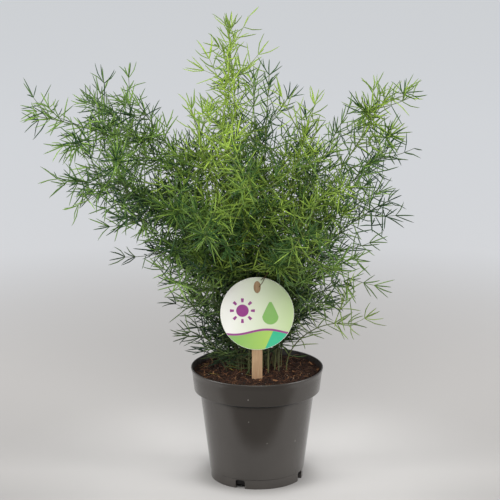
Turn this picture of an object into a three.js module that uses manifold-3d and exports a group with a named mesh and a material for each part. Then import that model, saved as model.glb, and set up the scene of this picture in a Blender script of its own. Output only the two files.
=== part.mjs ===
// Potted sprengeri asparagus fern: a nursery pot full of peat, a clump of leafy stems
// and a round label on a stick.
// Millimetres, +Z up, origin on the pot's axis at the surface it stands on, -Y towards the label's face.
import * as THREE from "three";
import { mergeVertices } from "three/addons/utils/BufferGeometryUtils.js";
import Module from "manifold-3d";

const wasm = await Module();
wasm.setup();

// Driving dimensions
const gap = 0.3; // kept between pieces that touch
const mergeDistance = 1e-4; // corners nearer than this are one corner
const smallestEdge = 0.01; // shorter ones left by a join are closed up
const pot = {
  rimRadius: 60,
  height: 104,
  wall: 1.3,
  bandTopRadius: 59,
  bandRadius: 57.1,
  bandHeight: 21,
  lipHeight: 5,
  shoulderRadius: 51.9,
  shoulderHeight: 0.5, // of the ledge under the band
  footRadius: 42.5,
  footHeight: 8.5,
  footInset: 0.6,
  ringWidth: 3.5,
  recess: 2,
  padRadius: 20,
  slots: 4,
  slotWidth: 9,
  slotHeight: 8,
  slotDepth: 7,
  slotTurn: -111.5,
  segments: 32,
};
const soil = {
  level: 99.6,
  mound: 1.6,
  crumb: 1.1,
  crumbsAcross: 0.9,
  crumbsAlong: 1.1,
  swayAcross: { size: 2.1, rate: 0.6 },
  swayAlong: { size: 1.7, rate: 0.5 },
  rings: 4,
  holeSides: 5,
};
const crown = { x: 2, y: 7, innerRadius: 5, spread: 24, rootDepth: 14, sprout: 3 };
const label = {
  footY: -27,
  lean: 6,
  discRadius: 33,
  discHeight: 60.5,
  discThickness: 0.8,
  discSegments: 40,
  holeWidth: 6.4,
  holeHeight: 11,
  holeDrop: 9,
  stickWidth: 9.4,
  stickThickness: 2,
  stickTop: 91,
  stickDepth: 52,
  stickCurveSegments: 6,
};
const foliage = {
  bareLength: 15,
  knotSpacing: 38,
  crowding: 1.35,
  stemRootRadius: 1.5,
  stemTipRadius: 0.9,
  stemSides: 4,
  stemTurn: 60, // each stem's first branch is turned this much further than the last one's
  keepOff: 2.5, // from the pot, the soil and the label
};
const branches = {
  radius: 0.7,
  tipRadius: 0.8, // share of the radius at the tip
  sides: 3,
  leave: 62, // from the stem, at its foot
  leaveFall: 20, // smaller towards the tip
  leaveSwing: 12,
  lift: 0.3,
  profileStart: 0.27, // the longest branches are a third of the way up
  profileRange: 0.7,
  pathSteps: 6,
};
const needles = {
  radius: 0.6,
  length: 15.5,
  foot: 2.2,
  tilt: 56,
  tiltSwing: 14,
  shares: [0.25, 0.75], // places of the two needles on a face
  start: 1, // where a needle is clear of its foot
  tipLength: 0.8, // share of the full length at a tip
  branchLength: 1.05,
  whorlSpacing: 16.5,
  firstWhorl: 9,
  lastWhorl: 3, // from the tip
};
const leastLength = 0.85; // of a branch or needle, as a share of the usual one
const lengthSwing = 0.3;
const goldenAngle = 137.5;

// Where the draws of each stem and branch begin
const branchSeeds = 1000;
const needleSeeds = 500;

// The leafy stems: tip in millimetres, droop = the tip's angle from upright in degrees,
// spread = its longest side branch, rise and hook = how far it climbs before it arches over.
const stems = [
  { name: "left_arch", tip: [-204, -14, 340], droop: 80, spread: 60, rise: 0.6, hook: 0.44, young: false },
  { name: "left_upper", tip: [-154, 38, 350], droop: 52, spread: 62, rise: 0.5, hook: 0.4, young: false },
  { name: "left_crest", tip: [-110, -26, 360], droop: 34, spread: 60, rise: 0.5, hook: 0.4, young: false },
  { name: "left_front", tip: [-168, -50, 290], droop: 80, spread: 56, rise: 0.55, hook: 0.42, young: false },
  { name: "left_back", tip: [-148, 74, 270], droop: 72, spread: 58, rise: 0.5, hook: 0.4, young: false },
  { name: "left_middle", tip: [-130, 26, 240], droop: 70, spread: 54, rise: 0.5, hook: 0.4, young: false },
  { name: "left_low", tip: [-104, -66, 220], droop: 70, spread: 48, rise: 0.5, hook: 0.38, young: false },
  { name: "left_lowest", tip: [-78, 34, 150], droop: 98, spread: 40, rise: 0.6, hook: 0.38, young: false },
  { name: "centre_left", tip: [-62, -46, 376], droop: 12, spread: 60, rise: 0.5, hook: 0.4, young: true },
  { name: "centre_top", tip: [-26, 4, 423], droop: 4, spread: 60, rise: 0.5, hook: 0.4, young: true },
  { name: "centre_right", tip: [12, -10, 396], droop: 8, spread: 60, rise: 0.5, hook: 0.4, young: true },
  { name: "centre_back", tip: [-4, 54, 366], droop: 14, spread: 58, rise: 0.5, hook: 0.4, young: false },
  { name: "right_inner", tip: [48, -28, 346], droop: 18, spread: 58, rise: 0.5, hook: 0.4, young: true },
  { name: "right_middle", tip: [86, 20, 344], droop: 30, spread: 58, rise: 0.5, hook: 0.4, young: false },
  { name: "right_upper", tip: [120, -34, 374], droop: 28, spread: 48, rise: 0.45, hook: 0.4, young: true },
  { name: "right_back", tip: [126, 56, 302], droop: 52, spread: 56, rise: 0.5, hook: 0.4, young: false },
  { name: "right_side", tip: [128, 6, 262], droop: 64, spread: 54, rise: 0.5, hook: 0.4, young: false },
  { name: "right_low", tip: [92, -52, 222], droop: 64, spread: 48, rise: 0.5, hook: 0.4, young: false },
  { name: "right_lowest", tip: [92, -30, 150], droop: 104, spread: 44, rise: 0.6, hook: 0.4, young: true },
  { name: "front_left", tip: [-58, -102, 268], droop: 62, spread: 54, rise: 0.95, hook: 0.58, young: true },
  { name: "front_centre", tip: [-8, -92, 314], droop: 42, spread: 54, rise: 0.7, hook: 0.5, young: true },
  { name: "front_right", tip: [50, -100, 256], droop: 66, spread: 52, rise: 0.85, hook: 0.6, young: true },
  { name: "back_left", tip: [-56, 110, 296], droop: 56, spread: 56, rise: 0.5, hook: 0.4, young: false },
  { name: "back_right", tip: [52, 108, 286], droop: 56, spread: 56, rise: 0.5, hook: 0.4, young: false },
];

const materials = {
  pot: new THREE.MeshStandardMaterial({ color: 0x57524e, roughness: 0.45, metalness: 0 }),
  soil: new THREE.MeshStandardMaterial({ color: 0x3a241a, roughness: 0.95, metalness: 0 }),
  young: new THREE.MeshStandardMaterial({ color: 0x7ba53a, roughness: 0.5, metalness: 0 }),
  mature: new THREE.MeshStandardMaterial({ color: 0x47702f, roughness: 0.5, metalness: 0 }),
  stick: new THREE.MeshStandardMaterial({ color: 0xc79c73, roughness: 0.7, metalness: 0 }),
  card: new THREE.MeshStandardMaterial({ color: 0xdfe9c8, roughness: 0.4, metalness: 0 }),
};

const radians = THREE.MathUtils.degToRad;
const vector = (x, y, z) => new THREE.Vector3(x, y, z);
const up = vector(0, 0, 1);

// Repeatable random draws: the same seed always grows the same branch.
function draws(seed) {
  const modulus = 2147483647;
  const multiplier = 16807;
  const seedMultiplier = 48271;
  const seedOffset = 12345;
  let state = (seed * seedMultiplier + seedOffset) % modulus;
  const next = () => {
    state = (state * multiplier) % modulus;
    return state / modulus;
  };
  next();
  next();
  return next;
}

// A closed three.js geometry as a manifold-3d solid, and back.
function solidFrom(geometry) {
  const bare = geometry.index ? geometry.toNonIndexed() : geometry.clone();
  bare.deleteAttribute("normal");
  bare.deleteAttribute("uv");
  const merged = mergeVertices(bare, mergeDistance);
  return new wasm.Manifold(
    new wasm.Mesh({
      numProp: 3,
      vertProperties: merged.attributes.position.array,
      triVerts: new Uint32Array(merged.index.array),
    }),
  );
}

// A join can leave a loose scrap, which is dropped.
function largestBody(solid) {
  return solid.decompose().reduce((largest, body) => (body.volume() > largest.volume() ? body : largest));
}

function meshFrom(solid, name, material) {
  const { numProp, numVert, vertProperties, triVerts } = solid.getMesh();
  const positions = new Float32Array(numVert * 3);
  for (let i = 0; i < numVert; i++)
    positions.set(vertProperties.subarray(i * numProp, i * numProp + 3), i * 3);
  const geometry = new THREE.BufferGeometry()
    .setAttribute("position", new THREE.BufferAttribute(positions, 3))
    .setIndex(new THREE.BufferAttribute(triVerts, 1));
  geometry.computeVertexNormals();
  const mesh = new THREE.Mesh(geometry, material);
  mesh.name = name;
  return mesh;
}

// A profile of [radius, height] pairs turned about the Z axis.
function turned(profile, segments) {
  const points = profile.map(([radius, height]) => new THREE.Vector2(radius, height));
  return new THREE.LatheGeometry(points, segments).rotateX(Math.PI / 2);
}

// Pot
const bandFoot = pot.height - pot.bandHeight;
const shoulderFoot = bandFoot - pot.shoulderHeight;
const potFloor = pot.recess + pot.wall;
const innerFootRadius = pot.footRadius - pot.footInset - pot.wall;

function potMesh() {
  const ringInner = pot.footRadius - pot.footInset - pot.ringWidth;
  const profile = [
    [0, 0],
    [pot.padRadius, 0],
    [pot.padRadius + pot.recess, pot.recess],
    [ringInner - pot.recess, pot.recess],
    [ringInner, 0],
    [pot.footRadius - pot.footInset, 0],
    [pot.footRadius - pot.footInset, pot.footHeight],
    [pot.footRadius + pot.footInset / 2, pot.footHeight + pot.footInset],
    [pot.shoulderRadius, shoulderFoot],
    [pot.bandRadius, bandFoot],
    [pot.bandTopRadius, pot.height - pot.lipHeight],
    [pot.rimRadius, pot.height - pot.wall],
    [pot.rimRadius, pot.height],
    [pot.rimRadius - pot.wall, pot.height],
    [pot.bandTopRadius - pot.wall, pot.height - pot.lipHeight],
    [pot.bandRadius - pot.wall, bandFoot + pot.wall],
    [pot.shoulderRadius - pot.wall, shoulderFoot + pot.wall],
    [innerFootRadius, potFloor],
    [0, potFloor],
  ];
  let solid = solidFrom(turned(profile, pot.segments));
  for (let i = 0; i < pot.slots; i++) {
    const cutter = new THREE.BoxGeometry(2 * pot.slotDepth, pot.slotWidth, 2 * pot.slotHeight);
    cutter.translate(pot.footRadius, 0, 0).rotateZ(radians(pot.slotTurn + (i * 360) / pot.slots));
    solid = solid.subtract(solidFrom(cutter));
  }
  return meshFrom(solid, "pot", materials.pot);
}

// Label: the group stands at soil level, leans back and holds the stick and the disc.
const labelGroup = new THREE.Group();
labelGroup.position.set(0, label.footY, soil.level);
labelGroup.rotation.x = -radians(label.lean);
labelGroup.updateMatrixWorld(true);

// The stick in the group's frame, or the slot for it, which is larger by a clearance all round
function stickSolid(clearance) {
  const width = label.stickWidth + 2 * clearance;
  const top = label.stickTop - width / 2;
  const outline = new THREE.Shape();
  outline.moveTo(-width / 2, -label.stickDepth - clearance);
  outline.lineTo(width / 2, -label.stickDepth - clearance);
  outline.lineTo(width / 2, top);
  outline.absarc(0, top, width / 2, 0, Math.PI, false);
  const depth = label.stickThickness + 2 * clearance;
  const options = { depth, bevelEnabled: false, curveSegments: label.stickCurveSegments };
  return new THREE.ExtrudeGeometry(outline, options)
    .translate(0, 0, -depth / 2)
    .rotateX(Math.PI / 2);
}

function labelDisc() {
  const outline = new THREE.Shape();
  outline.absarc(0, 0, label.discRadius, 0, 2 * Math.PI, false);
  const hole = new THREE.Path();
  const holeCentre = label.discRadius - label.holeDrop;
  hole.absellipse(0, holeCentre, label.holeWidth / 2, label.holeHeight / 2, 0, 2 * Math.PI, true);
  outline.holes.push(hole);
  const options = {
    depth: label.discThickness,
    bevelEnabled: false,
    curveSegments: label.discSegments / 2,
  };
  const front = label.stickThickness / 2 + gap;
  return new THREE.ExtrudeGeometry(outline, options)
    .rotateX(Math.PI / 2)
    .translate(0, -front, label.discHeight);
}

function addLabel() {
  labelGroup.add(meshFrom(solidFrom(stickSolid(0)), "label_stick", materials.stick));
  labelGroup.add(meshFrom(solidFrom(labelDisc()), "label_disc", materials.card));
}

// Stems: each climbs straight out of the soil and arches over towards its tip.
const rootFoot = soil.level - crown.rootDepth;
const sproutHeight = soil.level + crown.sprout;

function stemCurve({ tip, droop, rise, hook }) {
  const end = vector(...tip);
  const out = vector(end.x - crown.x, end.y - crown.y, 0);
  const lean = Math.atan2(out.length(), end.z - sproutHeight);
  out.normalize();
  const foot = vector(crown.x, crown.y, sproutHeight);
  foot.addScaledVector(out, crown.innerRadius + crown.spread * Math.sin(lean));
  const reach = foot.distanceTo(end);
  const shoulder = foot.clone().addScaledVector(up, rise * (end.z - sproutHeight));
  const tipWay = vector(0, 0, Math.cos(radians(droop))).addScaledVector(out, Math.sin(radians(droop)));
  const neck = end.clone().addScaledVector(tipWay, -hook * reach);
  const curve = new THREE.CubicBezierCurve3(foot, shoulder, neck, end);
  const across = up.clone().cross(out);
  return { curve, foot, across, length: curve.getLength() };
}

// The whorls of a stem sit at its knots, which crowd towards the tip,
// and a side branch leaves half-way between each two.
function knots(stem) {
  const leafy = stem.length - foliage.bareLength - foliage.knotSpacing / 4;
  const count = Math.round(leafy / foliage.knotSpacing);
  const alongs = [];
  for (let i = 0; i <= count; i++) {
    const reach = leafy * (1 - Math.pow(1 - i / (count + 0.5), foliage.crowding));
    alongs.push((foliage.bareLength + reach) / stem.length);
  }
  return alongs;
}

// One way for the side branch between two knots, turned about the stem by extra degrees
function branchCurve(stem, row, number, alongs, j, extra) {
  const random = draws(number * branchSeeds + j);
  const share = j / alongs.length;
  const start = stem.curve.getPointAt(alongs[j]).lerp(stem.curve.getPointAt(alongs[j + 1]), 0.5);
  const way = stem.curve.getTangentAt((alongs[j] + alongs[j + 1]) / 2);
  const turn = radians(j * goldenAngle + number * foliage.stemTurn + extra);
  const outward = stem.across.clone().multiplyScalar(Math.cos(turn));
  outward.addScaledVector(way.clone().cross(stem.across).normalize(), Math.sin(turn));
  const leaveAngle = branches.leave - branches.leaveFall * share;
  const leave = radians(leaveAngle + branches.leaveSwing * (random() - 0.5));
  const leaving = way.clone().multiplyScalar(Math.cos(leave)).addScaledVector(outward, Math.sin(leave));
  const ending = leaving.clone().addScaledVector(up, branches.lift).normalize();
  const profile = Math.sin(Math.PI * (branches.profileStart + branches.profileRange * share));
  const length = row.spread * profile * (leastLength + lengthSwing * random());
  const middle = start.clone().addScaledVector(leaving, length / 2);
  const end = middle.clone().addScaledVector(ending, length / 2);
  const curve = new THREE.QuadraticBezierCurve3(start, middle, end);
  return { curve, across: leaving.clone().cross(way).normalize(), length: curve.getLength() };
}

// Shortest distance between segments a-b and c-d
function segmentDistance(a, b, c, d) {
  const parallel = 1e-9;
  const ab = b.clone().sub(a);
  const cd = d.clone().sub(c);
  const ca = a.clone().sub(c);
  const e = ab.dot(ab);
  const f = cd.dot(cd);
  const g = ab.dot(cd);
  const h = ab.dot(ca);
  const k = cd.dot(ca);
  const bottom = e * f - g * g;
  const clamp = (x) => Math.min(1, Math.max(0, x));
  let s = bottom > parallel ? clamp((g * k - h * f) / bottom) : 0;
  const t = clamp((g * s + k) / f);
  s = clamp((g * t - h) / e);
  return a.clone().addScaledVector(ab, s).distanceTo(c.clone().addScaledVector(cd, t));
}

// What has grown so far: each piece is a segment with a radius, the number of its stem,
// the number of its branch (0 for the stem itself) and of its whorl (0 for the core).
const grown = [];
const clearOfOthers = 0.5;
const clearOfOwn = 0.2;
const core = 0;

function grow(from, to, radius, stem, branch, whorl) {
  grown.push({ from, to, radius, stem, branch, whorl, reach: from.distanceTo(to) });
}

// A needle may touch its own core and the needles of its whorl, and a branch the stem that bears it.
function isAttached(stem, branch, whorl, other) {
  if (other.stem !== stem) return false;
  if (whorl === core) return other.whorl === core && (other.branch === 0 || other.branch === branch);
  return other.branch === branch && (other.whorl === core || other.whorl === whorl);
}

function isClear(from, to, radius, stem, branch, whorl) {
  const reach = from.distanceTo(to);
  for (const other of grown) {
    const room = radius + other.radius + (other.stem === stem ? clearOfOwn : clearOfOthers);
    if (Math.abs(other.from.z - from.z) > reach + other.reach + room) continue;
    if (isAttached(stem, branch, whorl, other)) continue;
    if (segmentDistance(from, to, other.from, other.to) < room) return false;
  }
  return true;
}

// Foliage stays off the pot, the soil and the label.
const labelInverse = labelGroup.matrixWorld.clone().invert();

function isOpenAir(point) {
  const clearance = foliage.keepOff;
  const radius = Math.hypot(point.x, point.y);
  if (point.z < pot.height + clearance && radius < pot.rimRadius + clearance && point.z > 0)
    return point.z > pot.height + clearance - 1 && radius < pot.rimRadius;
  const local = point.clone().applyMatrix4(labelInverse);
  const depth = Math.abs(local.y + label.stickThickness / 2);
  if (depth > clearance) return point.z > clearance;
  const fromDisc = Math.hypot(local.x, local.z - label.discHeight);
  const besideStick = Math.abs(local.x) > label.stickWidth / 2 + clearance || local.z > label.stickTop;
  return fromDisc > label.discRadius + clearance && besideStick;
}

function isOpenWay(from, to) {
  const steps = 8;
  for (let i = 0; i <= steps; i++) {
    if (!isOpenAir(from.clone().lerp(to, i / steps))) return false;
  }
  return true;
}

// A tube along a curve whose faces rise into needles at each whorl, as one closed skin
class Sprig {
  constructor({ across, sides, stem, branch }) {
    Object.assign(this, { across, sides, stem, branch });
    this.rings = [];
    this.points = [];
    this.triangles = [];
    this.whorls = 0;
    this.turn = 0;
  }

  addRing(centre, way, radius) {
    const second = way.clone().cross(this.across).normalize();
    const first = second.clone().cross(way);
    const ring = [];
    for (let i = 0; i < this.sides; i++) {
      const angle = this.turn + (i * 2 * Math.PI) / this.sides;
      const point = centre.clone().addScaledVector(first, radius * Math.cos(angle));
      ring.push(this.points.push(point.addScaledVector(second, radius * Math.sin(angle))) - 1);
    }
    this.rings.push(ring);
    return ring;
  }

  joinFace(lower, upper, i) {
    const k = (i + 1) % this.sides;
    this.triangles.push([lower[i], lower[k], upper[i]], [lower[k], upper[k], upper[i]]);
  }

  // Half of a face of a whorl, flat or drawn out to a needle's tip
  addHalf(a, b, c, tip) {
    if (!tip) {
      this.triangles.push([a, b, c]);
      return;
    }
    const apex = this.points.push(tip) - 1;
    this.triangles.push([a, b, apex], [b, c, apex], [c, a, apex]);
  }

  // Plain tube from the last ring to a new one
  extend(centre, way, radius) {
    const lower = this.rings.at(-1);
    const upper = this.addRing(centre, way, radius);
    if (!lower) return upper;
    for (let i = 0; i < this.sides; i++) this.joinFace(lower, upper, i);
    return upper;
  }

  // A needle's tip, or nothing where there is no room for one
  needleTip(foot, way, angle, length, random) {
    const second = way.clone().cross(this.across).normalize();
    const first = second.clone().cross(way);
    const outward = first.multiplyScalar(Math.cos(angle)).addScaledVector(second, Math.sin(angle));
    const tilt = radians(needles.tilt + needles.tiltSwing * (random() - 0.5));
    const needleWay = way.clone().multiplyScalar(Math.cos(tilt)).addScaledVector(outward, Math.sin(tilt));
    const tip = foot.clone().addScaledVector(needleWay, length * (leastLength + lengthSwing * random()));
    const start = foot.clone().addScaledVector(needleWay, needles.start);
    if (!isOpenWay(start, tip)) return null;
    if (!isClear(start, tip, needles.radius, this.stem, this.branch, this.whorls)) return null;
    grow(start, tip, needles.radius, this.stem, this.branch, this.whorls);
    return tip;
  }

  // A short collar with two needles on each of its faces
  addWhorl(centre, way, radius, length, random) {
    this.whorls += 1;
    this.turn += Math.PI / this.sides;
    const collar = way.clone().multiplyScalar(needles.foot / 2);
    const lower = this.extend(centre.clone().sub(collar), way, radius);
    const upper = this.addRing(centre.clone().add(collar), way, radius);
    for (let i = 0; i < this.sides; i++) {
      const k = (i + 1) % this.sides;
      const halves = [[lower[i], upper[k], upper[i]], [lower[i], lower[k], upper[k]]];
      halves.forEach((corners, half) => {
        const foot = vector(0, 0, 0);
        for (const corner of corners) foot.addScaledVector(this.points[corner], 1 / 3);
        const angle = this.turn + ((i + needles.shares[half]) * 2 * Math.PI) / this.sides;
        this.addHalf(...corners, this.needleTip(foot, way, angle, length, random));
      });
    }
  }

  // The end draws out into a last needle, or a bud where there is no room for one.
  close(curve, length) {
    const end = curve.getPoint(1);
    const needleTip = end.clone().addScaledVector(curve.getTangentAt(1), length);
    const last = this.whorls + 1;
    const hasRoom = isOpenWay(end, needleTip)
      && isClear(end, needleTip, needles.radius, this.stem, this.branch, last);
    if (hasRoom) grow(end, needleTip, needles.radius, this.stem, this.branch, last);
    const tip = hasRoom ? needleTip : end;
    const foot = this.rings[0];
    for (let i = 1; i < this.sides - 1; i++) this.triangles.push([foot[0], foot[i + 1], foot[i]]);
    const lower = this.rings.at(-1);
    const apex = this.points.push(tip) - 1;
    lower.forEach((corner, i) => this.triangles.push([corner, lower[(i + 1) % this.sides], apex]));
  }

  solid() {
    const geometry = new THREE.BufferGeometry().setFromPoints(this.points);
    geometry.setIndex(this.triangles.flat());
    return solidFrom(geometry);
  }
}

// The path of a stem or branch as segments, so that the rest can be kept clear of it
function growCore(points, radius, stem, branch) {
  points.slice(1).forEach((point, i) => grow(points[i], point, radius, stem, branch, core));
}

function coreIsClear(points, radius, stem, branch) {
  for (let i = 1; i < points.length; i++) {
    if (!isOpenWay(points[i - 1], points[i])) return false;
    if (!isClear(points[i - 1], points[i], radius, stem, branch, core)) return false;
  }
  return true;
}

function stemSolid(stem, number) {
  const sprig = new Sprig({ across: stem.across, sides: foliage.stemSides, stem: number, branch: 0 });
  const random = draws(number + needleSeeds);
  sprig.extend(vector(stem.foot.x, stem.foot.y, rootFoot), up, foliage.stemRootRadius);
  sprig.extend(stem.foot, up, foliage.stemRootRadius);
  for (const along of knots(stem)) {
    const point = stem.curve.getPointAt(along);
    const way = stem.curve.getTangentAt(along);
    const radius = THREE.MathUtils.lerp(foliage.stemRootRadius, foliage.stemTipRadius, along);
    const length = needles.length * THREE.MathUtils.lerp(1, needles.tipLength, along);
    sprig.addWhorl(point, way, radius, length, random);
  }
  sprig.close(stem.curve, needles.length / 2);
  return sprig.solid();
}

function branchSolid(branch, stem, number) {
  const sprig = new Sprig({ across: branch.across, sides: branches.sides, stem, branch: number });
  const random = draws(stem * branchSeeds + number + needleSeeds);
  sprig.extend(branch.curve.getPoint(0), branch.curve.getTangentAt(0), branches.radius);
  const end = branch.length - needles.lastWhorl;
  for (let reach = needles.firstWhorl; reach < end; reach += needles.whorlSpacing) {
    const along = reach / branch.length;
    const point = branch.curve.getPointAt(along);
    const way = branch.curve.getTangentAt(along);
    const radius = branches.radius * THREE.MathUtils.lerp(1, branches.tipRadius, along);
    const length = needles.length * THREE.MathUtils.lerp(needles.branchLength, needles.tipLength, along);
    sprig.addWhorl(point, way, radius, length, random);
  }
  sprig.close(branch.curve, needles.length / 2);
  return sprig.solid();
}

// A branch with no room is turned a little further round its stem, and left out after a few tries.
const otherTurns = [0, 45, -45, 90, -90, 140];

function branchesOf(stem, row, number) {
  const alongs = knots(stem);
  const kept = [];
  for (let j = 0; j < alongs.length - 1; j++) {
    for (const extra of otherTurns) {
      const branch = branchCurve(stem, row, number, alongs, j, extra);
      const points = branch.curve.getSpacedPoints(branches.pathSteps);
      if (!coreIsClear(points, branches.radius, number, j + 1)) continue;
      growCore(points, branches.radius, number, j + 1);
      kept.push({ branch, number: j + 1 });
      break;
    }
  }
  return kept;
}

function addStems(plant) {
  const curves = stems.map((row) => stemCurve(row));
  curves.forEach((stem, i) => {
    const root = vector(stem.foot.x, stem.foot.y, rootFoot);
    const whorls = knots(stem).map((along) => stem.curve.getPointAt(along));
    growCore([root, stem.foot, ...whorls, stem.curve.getPoint(1)], foliage.stemRootRadius, i + 1, 0);
  });
  const sideBranches = stems.map((row, i) => branchesOf(curves[i], row, i + 1));
  stems.forEach((row, i) => {
    let solid = stemSolid(curves[i], i + 1);
    for (const { branch, number } of sideBranches[i]) {
      solid = solid.add(branchSolid(branch, i + 1, number));
    }
    solid = largestBody(solid.simplify(smallestEdge));
    plant.add(meshFrom(solid, "stem_" + row.name, row.young ? materials.young : materials.mature));
  });
  return curves;
}

// Soil: fills the pot, with a crumbly top, a plain hole for each stem and a slot for the stick
function soilMesh(curves) {
  const inset = pot.wall + gap;
  const topRadius = pot.bandTopRadius - inset - gap;
  const profile = [
    [0, potFloor + gap],
    [innerFootRadius - gap, potFloor + gap],
    [pot.shoulderRadius - inset, shoulderFoot + pot.wall + gap],
    [pot.bandRadius - inset, bandFoot + pot.wall + gap],
    [topRadius, soil.level - soil.crumb],
  ];
  for (let i = soil.rings - 1; i >= 0; i--) {
    profile.push([(topRadius * i) / soil.rings, soil.level]);
  }
  const geometry = turned(profile, pot.segments);
  const position = geometry.attributes.position;
  for (let i = 0; i < position.count; i++) {
    const x = position.getX(i);
    const y = position.getY(i);
    if (position.getZ(i) < soil.level - soil.crumb / 2) continue;
    const swell = soil.mound * (1 - (x * x + y * y) / (topRadius * topRadius));
    const { swayAcross, swayAlong } = soil;
    const across = soil.crumbsAcross * x + swayAcross.size * Math.sin(swayAcross.rate * y);
    const along = soil.crumbsAlong * y + swayAlong.size * Math.sin(swayAlong.rate * x);
    const crumbs = Math.sin(across) * Math.cos(along);
    position.setZ(i, soil.level - soil.mound / 2 + swell + soil.crumb * crumbs);
  }
  let solid = solidFrom(geometry);
  for (const stem of curves) {
    const radius = (foliage.stemRootRadius + gap) / Math.cos(Math.PI / soil.holeSides);
    const hole = new THREE.CylinderGeometry(1, 1, 2 * crown.rootDepth, soil.holeSides);
    hole.rotateX(Math.PI / 2).scale(radius, radius, 1);
    hole.translate(stem.foot.x, stem.foot.y, soil.level - gap);
    solid = solid.subtract(solidFrom(hole));
  }
  solid = solid.subtract(solidFrom(stickSolid(gap).applyMatrix4(labelGroup.matrixWorld)));
  return meshFrom(solid, "soil", materials.soil);
}

const plant = new THREE.Group();
addLabel();
plant.add(potMesh(), labelGroup);
const curves = addStems(plant);
plant.add(soilMesh(curves));

export default plant;
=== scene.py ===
import math

import bmesh
import bpy
import numpy as np
from mathutils import Matrix, Vector, noise


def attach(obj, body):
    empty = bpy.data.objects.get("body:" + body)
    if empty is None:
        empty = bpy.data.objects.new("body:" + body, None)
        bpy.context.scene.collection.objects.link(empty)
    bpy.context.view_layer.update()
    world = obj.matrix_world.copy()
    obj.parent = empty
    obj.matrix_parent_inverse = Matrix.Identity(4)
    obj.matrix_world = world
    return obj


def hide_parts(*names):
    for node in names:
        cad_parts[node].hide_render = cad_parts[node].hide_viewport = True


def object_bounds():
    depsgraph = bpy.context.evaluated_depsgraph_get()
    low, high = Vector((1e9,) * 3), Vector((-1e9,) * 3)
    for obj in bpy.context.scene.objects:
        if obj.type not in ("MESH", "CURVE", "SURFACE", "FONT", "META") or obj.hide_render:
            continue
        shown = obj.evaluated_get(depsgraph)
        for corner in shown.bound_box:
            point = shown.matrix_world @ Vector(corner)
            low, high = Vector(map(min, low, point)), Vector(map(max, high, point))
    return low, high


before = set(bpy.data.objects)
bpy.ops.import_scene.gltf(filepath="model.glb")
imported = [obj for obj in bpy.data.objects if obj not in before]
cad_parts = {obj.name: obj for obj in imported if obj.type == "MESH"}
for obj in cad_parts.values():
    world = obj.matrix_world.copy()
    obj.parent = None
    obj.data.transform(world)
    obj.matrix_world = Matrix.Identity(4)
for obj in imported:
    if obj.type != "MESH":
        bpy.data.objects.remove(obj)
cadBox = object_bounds()
mm = 0.001
goldenAngle = 137.5


# small helpers for meshes

def newObject(name, mesh):
    thing = bpy.data.objects.new(name, mesh)
    bpy.context.scene.collection.objects.link(thing)
    return thing


def dress(piece, slot, *nodes):
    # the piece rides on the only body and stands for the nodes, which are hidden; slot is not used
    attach(piece, "root")
    if nodes:
        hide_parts(*nodes)
    piece.data.calc_loop_triangles()
    print(f"  {piece.name}: {len(piece.data.loop_triangles)} triangles")


def smoothByAngle(mesh, degrees):
    shape = bmesh.new()
    shape.from_mesh(mesh)
    for face in shape.faces:
        face.smooth = True
    for edge in shape.edges:
        edge.smooth = len(edge.link_faces) == 2 and edge.calc_face_angle(0) < math.radians(degrees)
    shape.to_mesh(mesh)
    shape.free()


def softCorners(profile, steps=4, furthest=0.45):
    # (radius, height, softness) corners, each drawn as a short curve of that reach, which takes
    # no more than the furthest share of a side
    soft = [profile[0][:2]]
    for before, corner, after in zip(profile, profile[1:], profile[2:]):
        middle = Vector(corner[:2])
        ends = []
        for other in (before, after):
            way = Vector(other[:2]) - middle
            ends.append(middle + way * min(furthest, corner[2] / way.length))
        for i in range(steps + 1):
            t = i / steps
            point = ends[0].lerp(middle, t).lerp(middle.lerp(ends[1], t), t)
            soft.append((point.x, point.y))
    soft.append(profile[-1][:2])
    return soft


def turnedMesh(name, profile, segments):
    # a profile in millimetres from the axis at the bottom, up the outside and back to the axis
    points, rings, faces = [], [], []
    for radius, height in profile:
        count = 1 if radius < 1e-6 else segments
        rings.append(range(len(points), len(points) + count))
        for i in range(count):
            angle = 2 * math.pi * i / segments
            points.append((radius * mm * math.cos(angle), radius * mm * math.sin(angle), height * mm))
    for lower, upper in zip(rings, rings[1:]):
        for i in range(segments):
            k = (i + 1) % segments
            if len(lower) == 1:
                faces.append((lower[0], upper[k], upper[i]))
            elif len(upper) == 1:
                faces.append((lower[i], lower[k], upper[0]))
            else:
                faces.append((lower[i], lower[k], upper[k], upper[i]))
    mesh = bpy.data.meshes.new(name)
    mesh.from_pydata(points, [], faces)
    return mesh


def finished(thing, name):
    # the evaluated mesh of a thing with modifiers, as a plain object; the thing itself goes
    graph = bpy.context.evaluated_depsgraph_get()
    mesh = bpy.data.meshes.new_from_object(thing.evaluated_get(graph), depsgraph=graph)
    old = thing.data
    bpy.data.objects.remove(thing)
    if old.users == 0:
        bpy.data.meshes.remove(old)
    mesh.name = name
    return newObject(name, mesh)


# small helpers for node trees

def join(tree, value, socket):
    # another node's socket is linked, and anything else is set
    if isinstance(value, bpy.types.NodeSocket):
        tree.links.new(value, socket)
    else:
        socket.default_value = value


def put(tree, kind, values=None, **settings):
    # a node with its settings, and values for its inputs by name or number
    node = tree.nodes.new(kind)
    for key, value in settings.items():
        setattr(node, key, value)
    for key, value in (values or {}).items():
        join(tree, value, node.inputs[key])
    return node


def made(tree, kind, values=None, **settings):
    # the first output of such a node
    return put(tree, kind, values, **settings).outputs[0]


def maths(tree, operation, *values):
    return made(tree, "ShaderNodeMath", dict(enumerate(values)), operation=operation)


def times(tree, first, second):
    return maths(tree, "MULTIPLY", first, second)


def xyz(tree, x=0.0, y=0.0, z=0.0):
    return made(tree, "ShaderNodeCombineXYZ", {0: x, 1: y, 2: z})


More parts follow.
